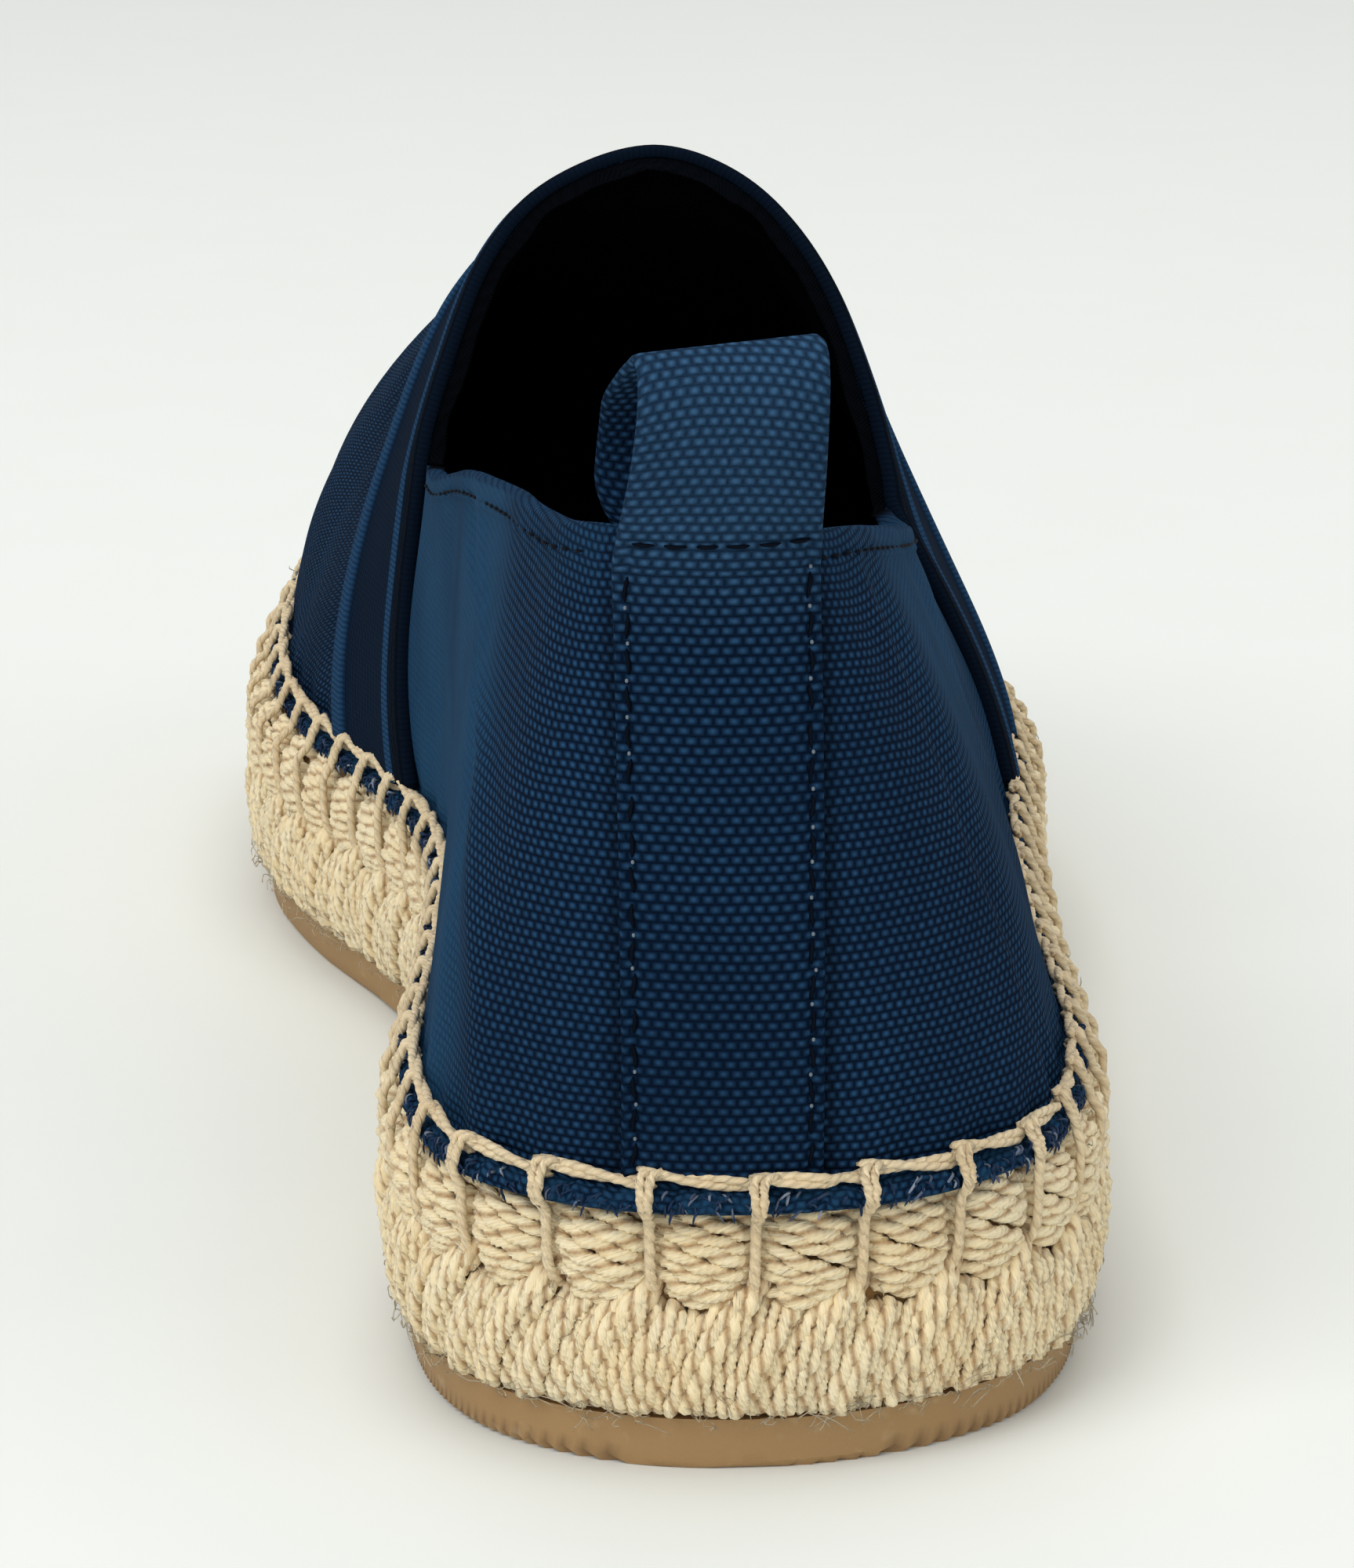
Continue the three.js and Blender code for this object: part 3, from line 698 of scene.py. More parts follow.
def tape_finish():
    """Woven tape: fine cords over the sunk field, a pale corded ridge along each side where the
    tone is high, and a dark strip where it is below zero."""
    paint = Paint("navy_tape", Specular_IOR_Level=0.03)
    u, v, _, _ = paint.cloth()
    tone = paint.tone()
    ridge = tone.held()
    fuzz = paint.noise(paint.place(), 2200.0, 3.0, 0.7)
    broad = paint.noise(paint.place(), 40.0, 3.0)
    ribs = u.wave(0.58) ** 0.8
    cords = u.wave(0.85) ** 0.6
    beads = v.wave(0.60) ** 0.6
    field = ribs * (0.55 + beads * 0.45)
    edge_cords = cords * 0.4 + beads * 0.6
    height = field * (1 - ridge) + edge_cords * ridge
    base = paint.mix(tint(2, 9, 20), tint(16, 38, 64), (height * (0.6 + broad * 0.7)).held())
    base = paint.mix(base, tint(38, 72, 106), (ridge * (0.1 + fuzz * 0.6 + beads * 0.4)).held())
    base = paint.mix(base, tint(4, 9, 17), (tone * -0.75).held())
    return paint.finish(base, 0.84 + fuzz * 0.12, height + fuzz * 0.3, 0.2)


def jute_finish(name, pale, deep, pit, groove):
    """Jute yarn of two plies: fibres that run along it, painted shade of the given depth in the
    groove between the plies, paler and browner stretches, and painted shade in the colour pit where
    the tone is low, on strand ends that dive behind others and in hollows."""
    paint = Paint(name, Sheen_Weight=0.2, Sheen_Roughness=0.4, Specular_IOR_Level=0.3)
    run, across, out, _ = paint.cloth()
    tone = paint.tone()
    place = paint.place()
    line = paint.node("ShaderNodeCombineXYZ", in_0=run * 0.45, in_1=across * 3.6, in_2=out * 3.6)
    fibre = paint.noise(line, 1.0, 3.0, 0.65)
    broad = paint.noise(place, 110.0, 3.0, 0.6)
    fine = paint.noise(place, 1700.0, 2.0, 0.7)
    seat = 1 - abs(across).ramp(0.08, 0.52)
    base = paint.mix(deep, pale, (fibre * 2.0 + broad * 0.8 - 0.82).held())
    # Painted shade in the groove between the plies.
    base = paint.mix(base, pit, (seat * groove * (0.35 + fine)).held())
    # Painted shade: low tone draws the colour towards pit, the shade colour.
    base = paint.mix(pit, base, (tone * 1.25 + fine * 0.2).held())
    return paint.finish(base, 0.72 + fibre * 0.2, fibre + fine * 0.35 - seat * 0.7, 0.16)


# The fourth colour of each yarn is the colour of its painted shade.
jute = jute_finish("jute_yarn", tint(255, 244, 210), tint(247, 218, 164), tint(152, 104, 50), 0.8)
thread = jute_finish(
    "stitch_thread", tint(252, 234, 196), tint(220, 190, 144), tint(132, 100, 62), 0.3
)
fibre = jute_finish("jute_fibre", tint(255, 244, 214), tint(240, 214, 166), tint(200, 164, 110), 0)


def core_finish():
    """Body of the sole behind the yarns, coloured darker than the yarns as painted shade."""
    paint = Paint("jute_core", Specular_IOR_Level=0.1)
    grain = paint.noise(paint.place(), 700.0, 4.0, 0.7)
    # Darker jute colours: painted shade, so gaps between the strands read as shadow.
    base = paint.mix(tint(120, 86, 48), tint(190, 150, 96), grain)
    return paint.finish(base, 0.9 + grain * 0.08, grain, 0.4)


def rubber_finish():
    """Matt tan rubber, darker in the sunk tread as painted shade, and scuffed pale along the edges.
    """
    paint = Paint("tan_rubber", Specular_IOR_Level=0.35)
    place = paint.place()
    depth = paint.tone()
    grain = paint.noise(place, 3200.0, 2.0, 0.6)
    broad = paint.noise(place, 34.0, 4.0, 0.55)
    speck = paint.noise(place, 420.0, 2.0, 0.5)
    base = paint.mix(tint(151, 119, 79), tint(169, 137, 94), (broad * 0.8 + grain * 0.2).held())
    # Painted shade in the sunk tread.
    base = paint.mix(base, tint(112, 86, 58), depth)
    base = paint.mix(base, tint(200, 176, 142), ((speck - 0.62) * 2.2).held())
    return paint.finish(base, 0.58 + broad * 0.2, grain, 0.05)


def frayed_finish():
    """Loose navy threads, some bleached pale."""
    paint = Paint("frayed_thread", Specular_IOR_Level=0.1)
    tone = paint.tone()
    grain = paint.noise(paint.place(), 900.0, 2.0)
    base = paint.mix(tint(12, 26, 50), tint(44, 66, 98), grain)
    base = paint.mix(base, tint(150, 160, 176), (tone * 0.9).held())
    return paint.finish(base, 0.85 + grain * 0.1)


def seam_finish():
    """Dark sewing thread, with pale specks where the tone is high."""
    paint = Paint("seam_thread", Specular_IOR_Level=0.04)
    tone = paint.tone()
    grain = paint.noise(paint.place(), 1500.0, 2.0)
    base = paint.mix(tint(3, 6, 13), tint(10, 16, 28), grain)
    base = paint.mix(base, tint(166, 182, 196), tone.held())
    return paint.finish(base, 0.6 + grain * 0.2)


frayed = frayed_finish()
seam = seam_finish()
lining = lining_finish()
tape = tape_finish()
core = core_finish()
rubber = rubber_finish()


# Upper

# Creases: points of the line as signed share and climb, then for the line height in
# millimetres, half width, and how far behind (-) or ahead (+) of the line its middle lies
CREASES = [
    ([(-0.30, 1.00), (-0.274, 0.85), (-0.148, 0.58), (-0.09, 0.22), (-0.085, 0.0)], 0.75, 4.0, 0.0),
    ([(-0.33, 1.00), (-0.310, 0.85), (-0.190, 0.58), (-0.12, 0.22), (-0.11, 0.0)], -0.85, 4.5, 3.0),
    ([(0.120, 0.95), (0.116, 0.77), (0.104, 0.45), (0.118, 0.10), (0.12, 0.0)], 0.45, 3.0, -2.0),
    ([(0.120, 0.95), (0.116, 0.77), (0.104, 0.45), (0.118, 0.10), (0.12, 0.0)], -0.80, 3.6, 2.6),
    ([(-0.40, 0.95), (-0.42, 0.60), (-0.46, 0.20)], -0.45, 6.0, 0.0),
    ([(0.36, 0.95), (0.33, 0.60), (0.30, 0.15)], -0.55, 7.0, 0.0),
    ([(0.30, 0.95), (0.26, 0.55), (0.22, 0.15)], 0.45, 6.0, 0.0),
    ([(-0.70, 0.10), (-0.74, 0.50), (-0.82, 0.95)], -0.6, 7.0, 0.0),
    ([(0.70, 0.10), (0.73, 0.50), (0.80, 0.95)], -0.6, 7.0, 0.0),
    ([(-0.84, 0.05), (-0.86, 0.40), (-0.90, 0.80)], 0.5, 6.0, 0.0),
    ([(0.85, 0.05), (0.87, 0.35), (0.90, 0.75)], 0.5, 6.0, 0.0),
]


def folds(t, climb):
    """Soft troughs and ridges of the canvas, in millimetres off the wall: for each crease a bell
    across its line, faded at both ends; small gathers between the stitches at the hem; a slow sway;
    and a tuck behind the corner."""
    gather, sway, tuck_depth = 0.30, 0.25, 0.55
    t = signed(t)
    a = arc_at(t)
    off = gather * np.cos(2 * np.pi * a * STITCHES / ROUND) * bell(climb, 0.09)
    off = off + sway * np.sin(a * 0.21 + 1.0) * np.sin(climb * 4.2 + a * 0.05)
    for line, high, half, beyond in CREASES:
        line = sorted(line, key=lambda point: point[1])
        share, level = np.array(line).T
        middle = arc_at(np.interp(climb, level, share)) + np.sign(share[0]) * beyond
        fade = step(level[0] - 0.1, level[0] + 0.15, climb)
        fade = fade * step(level[-1] + 0.08, level[-1] - 0.12, climb)
        off = off + high * bell(a - middle, half) * fade
    behind = (CORNER - np.abs(t)) * np.where(t < 0, MEDIAL_LENGTH, LATERAL_LENGTH)
    tuck = bell(behind, 2.2) * (behind > 0) * step(0.02, 0.2, climb)
    return off * (1 - bell(behind, 5.0)) - tuck_depth * tuck


def nap(t, climb):
    """How far the weave is rubbed smooth: on the inner side ahead of the fold, in a patch by the
    tape on the outer side, and a little along the collar."""
    t = signed(t)
    line = np.interp(climb, [0.0, 0.22, 0.6, 0.85, 1.0], [-0.06, -0.07, -0.10, -0.14, -0.16])
    inner = step(0.0, 0.09, line - t) * step(-0.56, -0.50, t)
    outer = 0.85 * step(0.10, 0.19, t) * step(0.56, 0.50, t) * (0.45 + 0.55 * step(0.2, 0.8, climb))
    collar = 0.35 * step(0.86, 0.97, climb)
    return np.maximum(np.maximum(inner * 0.95, outer), collar)


def make_upper():
    """Canvas shell: the turned hem, the wall with its folds, the turned collar and the inside."""
    fold_line, doubled = 0.93, 0.32
    behind = np.linspace(-CORNER, CORNER, 320, endpoint=False)
    ahead = np.linspace(CORNER, 2 - CORNER, 230, endpoint=False)
    t = np.concatenate([behind, ahead])[None, :]
    share = signed(t)
    quarter = step(CORNER - 0.004, CORNER - 0.04, np.abs(share))
    rows, tones = [], []
    worn = np.random.default_rng(3)
    hem = [(-CANVAS_WALL, 0), (0.3, 0), (1.5, 0), (2.1, 0.35), (2.2, 1.0), (1.7, 1.7), (0.9, 2.0)]
    wobble = 0.22 * np.sin(arc_at(share) * 2.9) + 0.16 * np.sin(arc_at(share) * 1.31 + 1.0)
    for out, up in hem:
        loose = wobble * (out > 0.5)
        rows.append(foot(t, UPPER_FLOOR + up + loose * 0.5, out + loose))
        tones.append(worn.uniform(0.1, 0.9, t.shape))
    for c in np.concatenate([np.linspace(0, fold_line, 62), np.linspace(0.937, 1, 14)]):
        turned = doubled * step(0.944, 0.956, c) - 0.14 * bell(c - COLLAR_SEAM, 0.006)
        rows.append(on_wall(t, c, folds(t, c) + turned * quarter))
        # Painted contact shadow: tone pushed below zero in a line on the canvas just beside each edge
        # of the heel webbing
        beside_band = np.abs(wall(t, c)[..., 0] - WEBBING_CENTRE) - WEBBING_WIDTH / 2 - 0.4
        shade = 0.55 * bell(beside_band, 0.8) * (np.abs(share) < 0.08)
        tones.append(nap(t, c) - shade)
    top = wall(t, 1.0)
    up = unit(top - wall(t, 0.99))
    out = normal_at(t, 1.0)
    radius = (CANVAS_WALL + 0.35 + 0.3 * quarter) / 2
    middle = folds(t, 1.0) + doubled * quarter - radius
    for angle in np.linspace(0.15, 0.85, 6) * np.pi:
        shift = (middle + radius * np.cos(angle))[..., None]
        rows.append(top + out * shift + up * (0.75 * quarter * np.sin(angle))[..., None])
        # Ahead of the corner the turned edge takes the same near-black colour as the inside.
        tones.append(0.5 * quarter - (1 - quarter))
    # Inside of the canvas, at tone -1: its near-black colour stands partly for painted shade inside
    # the shoe.
    for c in np.linspace(1, 0, 16):
        rows.append(on_wall(t, c, folds(t, c) - CANVAS_WALL - 0.2 * quarter * (c > fold_line)))
        tones.append(np.full(t.shape, -1.0))
    points = np.concatenate(rows)
    run = lengths(points, 1)
    heel, toe = (int(np.argmin(np.abs(t[0] - place))) for place in (0, 1))
    across = run - np.where(np.arange(t.shape[1]) < len(behind), run[:, [heel]], run[:, [toe]])
    climbed = lengths(points, 0)
    cloth = stack(across, climbed - climbed[[len(hem)]], 0)
    faces = quads(*points.shape[:2], ring_rows=True, ring_cols=True).tolist()
    piece(
        "canvas_upper", points, faces, canvas, ("upper",), cloth, np.concatenate(tones)
    )


make_upper()


# Insole

def drawn_in(ring, share, level):
    """Ring drawn in by a share of the way to its other side, at a level over the sprung floor."""
    drawn = ring + (np.roll(ring[:, ::-1], 1, 1) - ring) * share
    drawn[..., 2] = level + spring(drawn[..., 1])
    return drawn


def make_insole():
    """Fabric footbed: rings in from the wall to the middle, at the height of the slab's top."""
    t = np.linspace(-1, 1, 240, endpoint=False)[None, :]
    out, top = 0.2 - CANVAS_WALL, UPPER_FLOOR + INSOLE_THICK
    ring = foot(t, top, out)
    rows = [foot(t, UPPER_FLOOR, out), foot(t, top - 0.6, out)]
    for share in (0.0, 0.06, 0.14, 0.25, 0.38, 0.5):
        rows.append(drawn_in(ring, share, top + 0.3 * math.sin(share * math.pi)))
    faces = quads(len(rows), t.shape[1], ring_cols=True).tolist()
    piece("footbed", np.concatenate(rows), faces, lining, ("insole",))


make_insole()


# Outsole

def edge_x(y):
    """Inner and outer x of the outline at a distance from the heel."""
    return [np.interp(y, side[:, 2], side[:, 1]) for side in (MEDIAL, LATERAL)]


def make_outsole():
    """Rubber plate: its underside is a grid with a row for every quarter of a rib. The ribs are
    waves across the heel and inside the rounded forefoot pad."""
    heel_start, heel_end, heel_pitch = 2.0, 85.6, 1.045
    pad_start, pad_end, pad_pitch = 137.0, 249.4, 1.02
    depth, worn_edge = 0.5, 0.35
    y = np.concatenate([
        [0.02, 0.25, 0.6, 1.0, 1.5],
        np.arange(heel_start, heel_end, heel_pitch / 4),
        np.linspace(heel_end, pad_start, 24)[:-1],
        np.arange(pad_start, pad_end, pad_pitch / 4),
        np.linspace(pad_end, SOLE_LENGTH - 0.02, 24),
    ])
    inner, outer = edge_x(y)
    pad = np.array([
        [pad_start, -3, 10], [139, -9, 20], [141, -12, 26], [146, -18, 31], [150, -21, 32.6],
        [164, -28, 34.4], [178, -31.6, 34.2], [192, -33.6, 32.4], [212, -33.4, 28.0],
        [232, -30, 20.5], [242, -26, 13.8], [246, -22, 9.6], [pad_end, -14, 0],
    ])
    pad_in, pad_out = (np.interp(y, pad[:, 0], pad[:, k]) for k in (1, 2))
    side = np.array([0.0, 0.04, 0.15, 0.4, 0.75, 0.98])
    pad_lanes = np.linspace(0, 1, 14)
    lanes = [inner + (pad_in - inner) * s for s in side]
    lanes += [pad_in + (pad_out - pad_in) * s for s in pad_lanes]
    lanes += [outer + (pad_out - outer) * s for s in side[::-1]]
    inner, outer, long = inner[:, None], outer[:, None], y[:, None]
    x = np.clip(np.stack(lanes, 1), inner, outer)
    rows, cols = x.shape
    lane = np.arange(cols)
    in_heel = (long >= heel_start) & (long <= heel_end)
    in_pad = (long >= pad_start) & (long <= pad_end)
    in_pad = in_pad & (lane >= len(side)) & (lane < len(side) + len(pad_lanes))
    sunk = 0
    for inside, start, pitch in ((in_heel, heel_start, heel_pitch), (in_pad, pad_start, pad_pitch)):
        sunk = sunk + inside * (0.5 - 0.5 * np.cos(2 * np.pi * (long - start) / pitch))
    near = np.minimum(np.minimum(x - inner, outer - x), np.minimum(long, SOLE_LENGTH - long))
    rounding = EDGE_ROUND * (1 - np.sqrt(1 - (1 - np.clip(near / EDGE_ROUND, 0, 1)) ** 2))
    z = spring(long) + sunk * depth + rounding * (1 - worn_edge * in_heel)
    under = stack(x, long, z).reshape(-1, 3)
    left = np.arange(rows) * cols
    right = left + cols - 1
    across = np.arange(1, cols - 1)
    border = np.concatenate([right, (left[-1] + across)[::-1], left[::-1], across])
    ring = under[border]
    rise = stack(0, 0, OUTSOLE_THICK + spring(ring[:, 1]) - ring[:, 2])
    levels = [ring + rise * share for share in (0.35, 0.7, 1.0)]
    faces = quads(rows, cols)[:, ::-1].tolist()
    count = len(border)
    here = border
    for k in range(len(levels)):
        above = rows * cols + k * count + np.arange(count)
        faces += np.stack([here, np.roll(here, -1), np.roll(above, -1), above], 1).tolist()
        here = above
    far = rows + cols - 2
    a = here[:rows]
    b = here[far : far + rows][::-1]
    faces += np.stack([a[:-1], a[1:], b[1:], b[:-1]], 1)[1:-1].tolist()
    faces.append([*here[far + rows - 1 :].tolist(), *here[:2].tolist(), int(b[1])])
    faces.append(here[rows - 2 : far + 2].tolist())
    # Tone: painted shade in the sunk tread, none on the sides.
    tone = np.concatenate([(sunk * 0.75).ravel(), np.zeros(count * len(levels))])
    made = piece(
        "rubber_outsole", np.concatenate([under] + levels), faces, rubber,
        ("outsole",), tone=tone,
    )
    made.data.set_sharp_from_angle(angle=math.radians(50))


make_outsole()


# Jute

def jute_place(a, height, out):
    """Place on the side of the sole at a distance a round it."""
    return beside(turn_at(a), out, height)


def out_at(a):
    """Outward direction of the side of the sole at a distance a round it."""
    _, _, _, ox, oy = edge(turn_at(a))
    return stack(ox, oy, np.zeros_like(ox))


def from_stitch(a):
    """Distance round the sole from the nearest stitch, negative on its heel side."""
    pitch = ROUND / STITCHES
    return ((a / pitch + 0.5) % 1 - 0.5) * pitch


def pit_at(a, height):
    """Small hollow between the rows under each stitch, from 0 to 1."""
    return bell(from_stitch(a) - 0.7, 1.25) * bell(height - JUTE_MIDDLE, 1.3)


def spreads(rng, groups, strands):
    """Makers of random offsets of a given size: one for each strand, and one for each group."""
    return (
        lambda size: rng.normal(0, size, (groups, strands, 1)),
        lambda size: rng.normal(0, size, (groups, 1, 1)),
    )


def yarns(rng, name, a, height, out, shade, twist, flat, spread):
    """Row of two-ply strands on grids of group, strand and step. A strand turns once in the length
    twist, and its radius strays by the share spread."""
    paths, ups = (
        grid.reshape(-1, YARN_STEPS, 3) for grid in (jute_place(a, height, out), out_at(a))
    )
    spin = lengths(paths, 1) * (2 * math.pi / twist) + rng.uniform(0, 6.28, (len(paths), 1))
    radius = YARN_RADIUS * (1 + rng.normal(0, spread, (len(paths), 1)))
    made = tubes(paths, radius, 8, ups, spin, flat, waist=YARN_WAIST)
    shade = shade.reshape(-1, YARN_STEPS, 1)
    tube_piece(name, [made], jute, [shade], ("jute_midsole",))


def make_core():
    """Body of the plait behind the yarns: rings from the outsole up to the canvas."""
    t = np.linspace(-1, 1, 400, endpoint=False)[None, :]
    profile = [
        (JUTE_BOTTOM, -0.5), (JUTE_BOTTOM + 2.0, 0.6), (JUTE_BOTTOM + 6, 1.2),
        (JUTE_MIDDLE - 2, 0.5), (JUTE_MIDDLE, -0.5), (JUTE_MIDDLE + 1.5, 0.2),
        (JUTE_MIDDLE + 5, 0.6), (JUTE_TOP - 0.6, -0.6), (JUTE_TOP, -2.4),
    ]
    rows = [beside(t, out, height) for height, out in profile]
    rows = [
        drawn_in(rows[0], 0.5, JUTE_BOTTOM), *rows,
        drawn_in(rows[-1], 0.15, JUTE_TOP), drawn_in(rows[-1], 0.5, JUTE_TOP),
    ]
    faces = quads(len(rows), t.shape[1], ring_cols=True).tolist()
    piece("jute_core", np.concatenate(rows), faces, core, ("jute_midsole",))


def make_upper_row(rng):
    """Upper row: one leaf of eight strands for each stitch. In a leaf the strands run side by side
    down to the right, draw together at both ends and dive behind the next leaf."""
    strands = 8
    half_length, half_width, middle = 5.7, 4.1, JUTE_MIDDLE + 3.9
    each, all_of = spreads(rng, STITCHES, strands)
    leaf = np.arange(STITCHES)[:, None, None]
    q = np.linspace(-1, 1, strands)[:, None]
    p = np.linspace(-1, 1, YARN_STEPS)
    slant = math.radians(-33) + all_of(0.05) + each(0.03)
    along = p * (half_length + all_of(0.25)) + 0.3
    across = q * (half_width + all_of(0.1)) * (1 - 0.36 * np.abs(p) ** 2.2) + each(0.10)
    across = across + 0.5 * np.sin(p * 2.4) - 0.45 * (1 - p * p) * (q < 0)
    a = (leaf + 0.5) * ROUND / STITCHES + along * np.cos(slant) - across * np.sin(slant)
    height = middle + along * np.sin(slant) + across * np.cos(slant)
    height = np.clip(height, JUTE_MIDDLE - 1.9, JUTE_TOP - 0.2)
    crown = np.sqrt(np.maximum(1 - (np.abs(p) / 1.04) ** 2.4, 0))
    out = -1.4 + 2.6 * crown + 0.8 * (1 - q * q) + each(0.09)
    out = out - step(JUTE_TOP - 2.0, JUTE_TOP + 0.2, height)
    pit = pit_at(a, height)
    out = out - 1.15 * bell(from_stitch(a), 1.5) - 1.2 * pit
    # Painted shade: darker where a strand dives behind the next leaf and in the hollow under each
    # stitch.
    shade = 0.35 + 0.7 * crown - 0.6 * pit
    yarns(rng, "jute_upper_row", a, height, out, shade, twist=5.0, flat=0.84, spread=0.07)


def make_lower_row(rng):
    """Lower row: strands that climb steeply to the right, in bundles of four whose tips stand up
    in front of the upper row, every other one higher."""
    bundles, strands = STITCHES * 2, 4
    pitch = ROUND / bundles
    reach, start = 6.0, -6.9
    each, all_of = spreads(rng, bundles, strands)
    bundle = np.arange(bundles)[:, None, None]
    q = np.linspace(-1, 1, strands)[:, None]
    p = np.linspace(0, 1, YARN_STEPS)
    every = np.where(bundle % 2 == 0, 1.0, -1.0)
    top = JUTE_MIDDLE + 0.5 + 1.5 * every + all_of(0.3) + each(0.2)
    top = top + 0.5 * q * every - (1.2 * q * q) * (every > 0)
    height = JUTE_BOTTOM + 0.15 + (top - JUTE_BOTTOM) * p + each(0.12)
    rise = np.clip((height - JUTE_BOTTOM) / LOWER_ROW, 0, 1.3)
    leant = (0.30 * rise + 0.70 * rise**1.8) * reach
    drawn = np.where(every > 0, 0.55 * step(0.70, 1.12, rise), 0.0)
    width = 0.39 * pitch * (1 - drawn)
    a = bundle * pitch + start + leant + q * width + all_of(0.15) + each(0.10)
    belly = np.sin(np.pi * np.clip(0.10 + 0.74 * rise, 0, 1)) ** 0.8
    out = -0.95 + 2.45 * belly + 0.55 * (1 - q * q) + each(0.12)
    out = out + np.where(every > 0, 0.75, -0.35) * step(0.45, 1, rise) - 0.8 * step(0.93, 1.0, p)
    pit = pit_at(a, height)
    # Painted shade: darker off the strand's belly, at its tip and in the hollow under each stitch.
    shade = 0.55 + 0.5 * belly - 0.40 * step(0.86, 1.0, p) - 0.6 * pit
    out = out - 0.9 * pit
    yarns(rng, "jute_lower_row", a, height, out, shade, twist=4.8, flat=0.82, spread=0.06)


def places_round(rng, many):
    """Random distances round the edge of the sole."""
    return rng.uniform(-MEDIAL_LENGTH, LATERAL_LENGTH, (many, 1))


def make_hairs(rng):
    """Stray fibres of the jute: fine curved tubes that start in the plait and bend outward and to
    one side, most of them along the lower edge."""
    many, longest = 1400, 1.3
    u = np.linspace(0, 1, 6)
    start = places_round(rng, many)
    low = rng.uniform(0, 1, (many, 1)) < 0.55
    near_floor = JUTE_BOTTOM + rng.exponential(0.9, (many, 1))
    level = np.where(low, near_floor, rng.uniform(JUTE_BOTTOM, JUTE_TOP, (many, 1)))
    level = np.clip(level, JUTE_BOTTOM, JUTE_TOP - 0.5)
    reach = rng.gamma(2.0, 0.36, (many, 1))
    side = rng.normal(0, 2.2, (many, 1))
    droop = rng.normal(-0.5, 1.0, (many, 1))
    a = start + side * u + rng.normal(0, 0.5, (many, 1)) * np.sin(u * 5)
    height = level + droop * u**1.5 + 0.25 * np.sin(u * 7 + start)
    height = np.maximum(height, JUTE_BOTTOM - 1.2)
    out = 1.3 + np.minimum(reach, longest) * np.sin(u * 2.0)
    radius = 0.045 + 0.02 * rng.uniform(0, 1, (many, 1))
    made = tubes(jute_place(a, height, out), radius, 3, out_at(a))
    tube_piece("jute_hairs", [made], fibre, [0.9])


def make_fringe(rng):
    """Frayed hem: short navy threads that start in the turned edge of the canvas and point down
    and out over the jute."""
    many = 1500
    u = np.linspace(0, 1, 6)
    a = places_round(rng, many) + rng.normal(0, 0.8, (many, 1)) * u
    start = rng.uniform(UPPER_FLOOR + 0.4, UPPER_FLOOR + 2.1, (many, 1))
    fall = rng.uniform(0.2, 1.3, (many, 1))
    lift = rng.uniform(0.1, 0.5, (many, 1)) * np.sin(u * np.pi)
    height = start - fall * u**1.3 + lift * 0.7
    out = 1.5 - edge(turn_at(a))[2] * FEATHER_INSET + 0.7 * np.sqrt(u) + lift
    radius = 0.11 + 0.05 * rng.uniform(0, 1, (many, 1))
    made = tubes(jute_place(a, height, out), radius, 3, out_at(a))
    bleached = rng.uniform(0, 1, (many, 1, 1)) ** 7
    tube_piece("frayed_hem", [made], frayed, [bleached])


rng = np.random.default_rng(7)
make_core()
make_upper_row(rng)
make_lower_row(rng)
make_hairs(rng)
make_fringe(rng)


# Blanket stitch

def over_webbing(a):
    """How much further out the foot of the canvas lies where the heel webbing covers it."""
    x = edge(turn_at(a))[0]
    near = np.abs(x - WEBBING_CENTRE)
    return step(WEBBING_WIDTH / 2 + 1.2, WEBBING_WIDTH / 2 - 0.2, near) * (np.abs(a) < 30)


def foot_inset(a):
    """How far the foot of the canvas lies in from the outline, webbing and all."""
    return edge(turn_at(a))[2] * FEATHER_INSET - over_webbing(a)


def twined(a, height, out, radius, flat):
    """Tubes of stitching thread on the side of the sole, turned once in THREAD_TWIST."""
    paths = jute_place(a, height, out)
    spin = lengths(paths, 1) * (2 * math.pi / THREAD_TWIST)
    return tubes(paths, radius, 6, out_at(a), spin, flat)


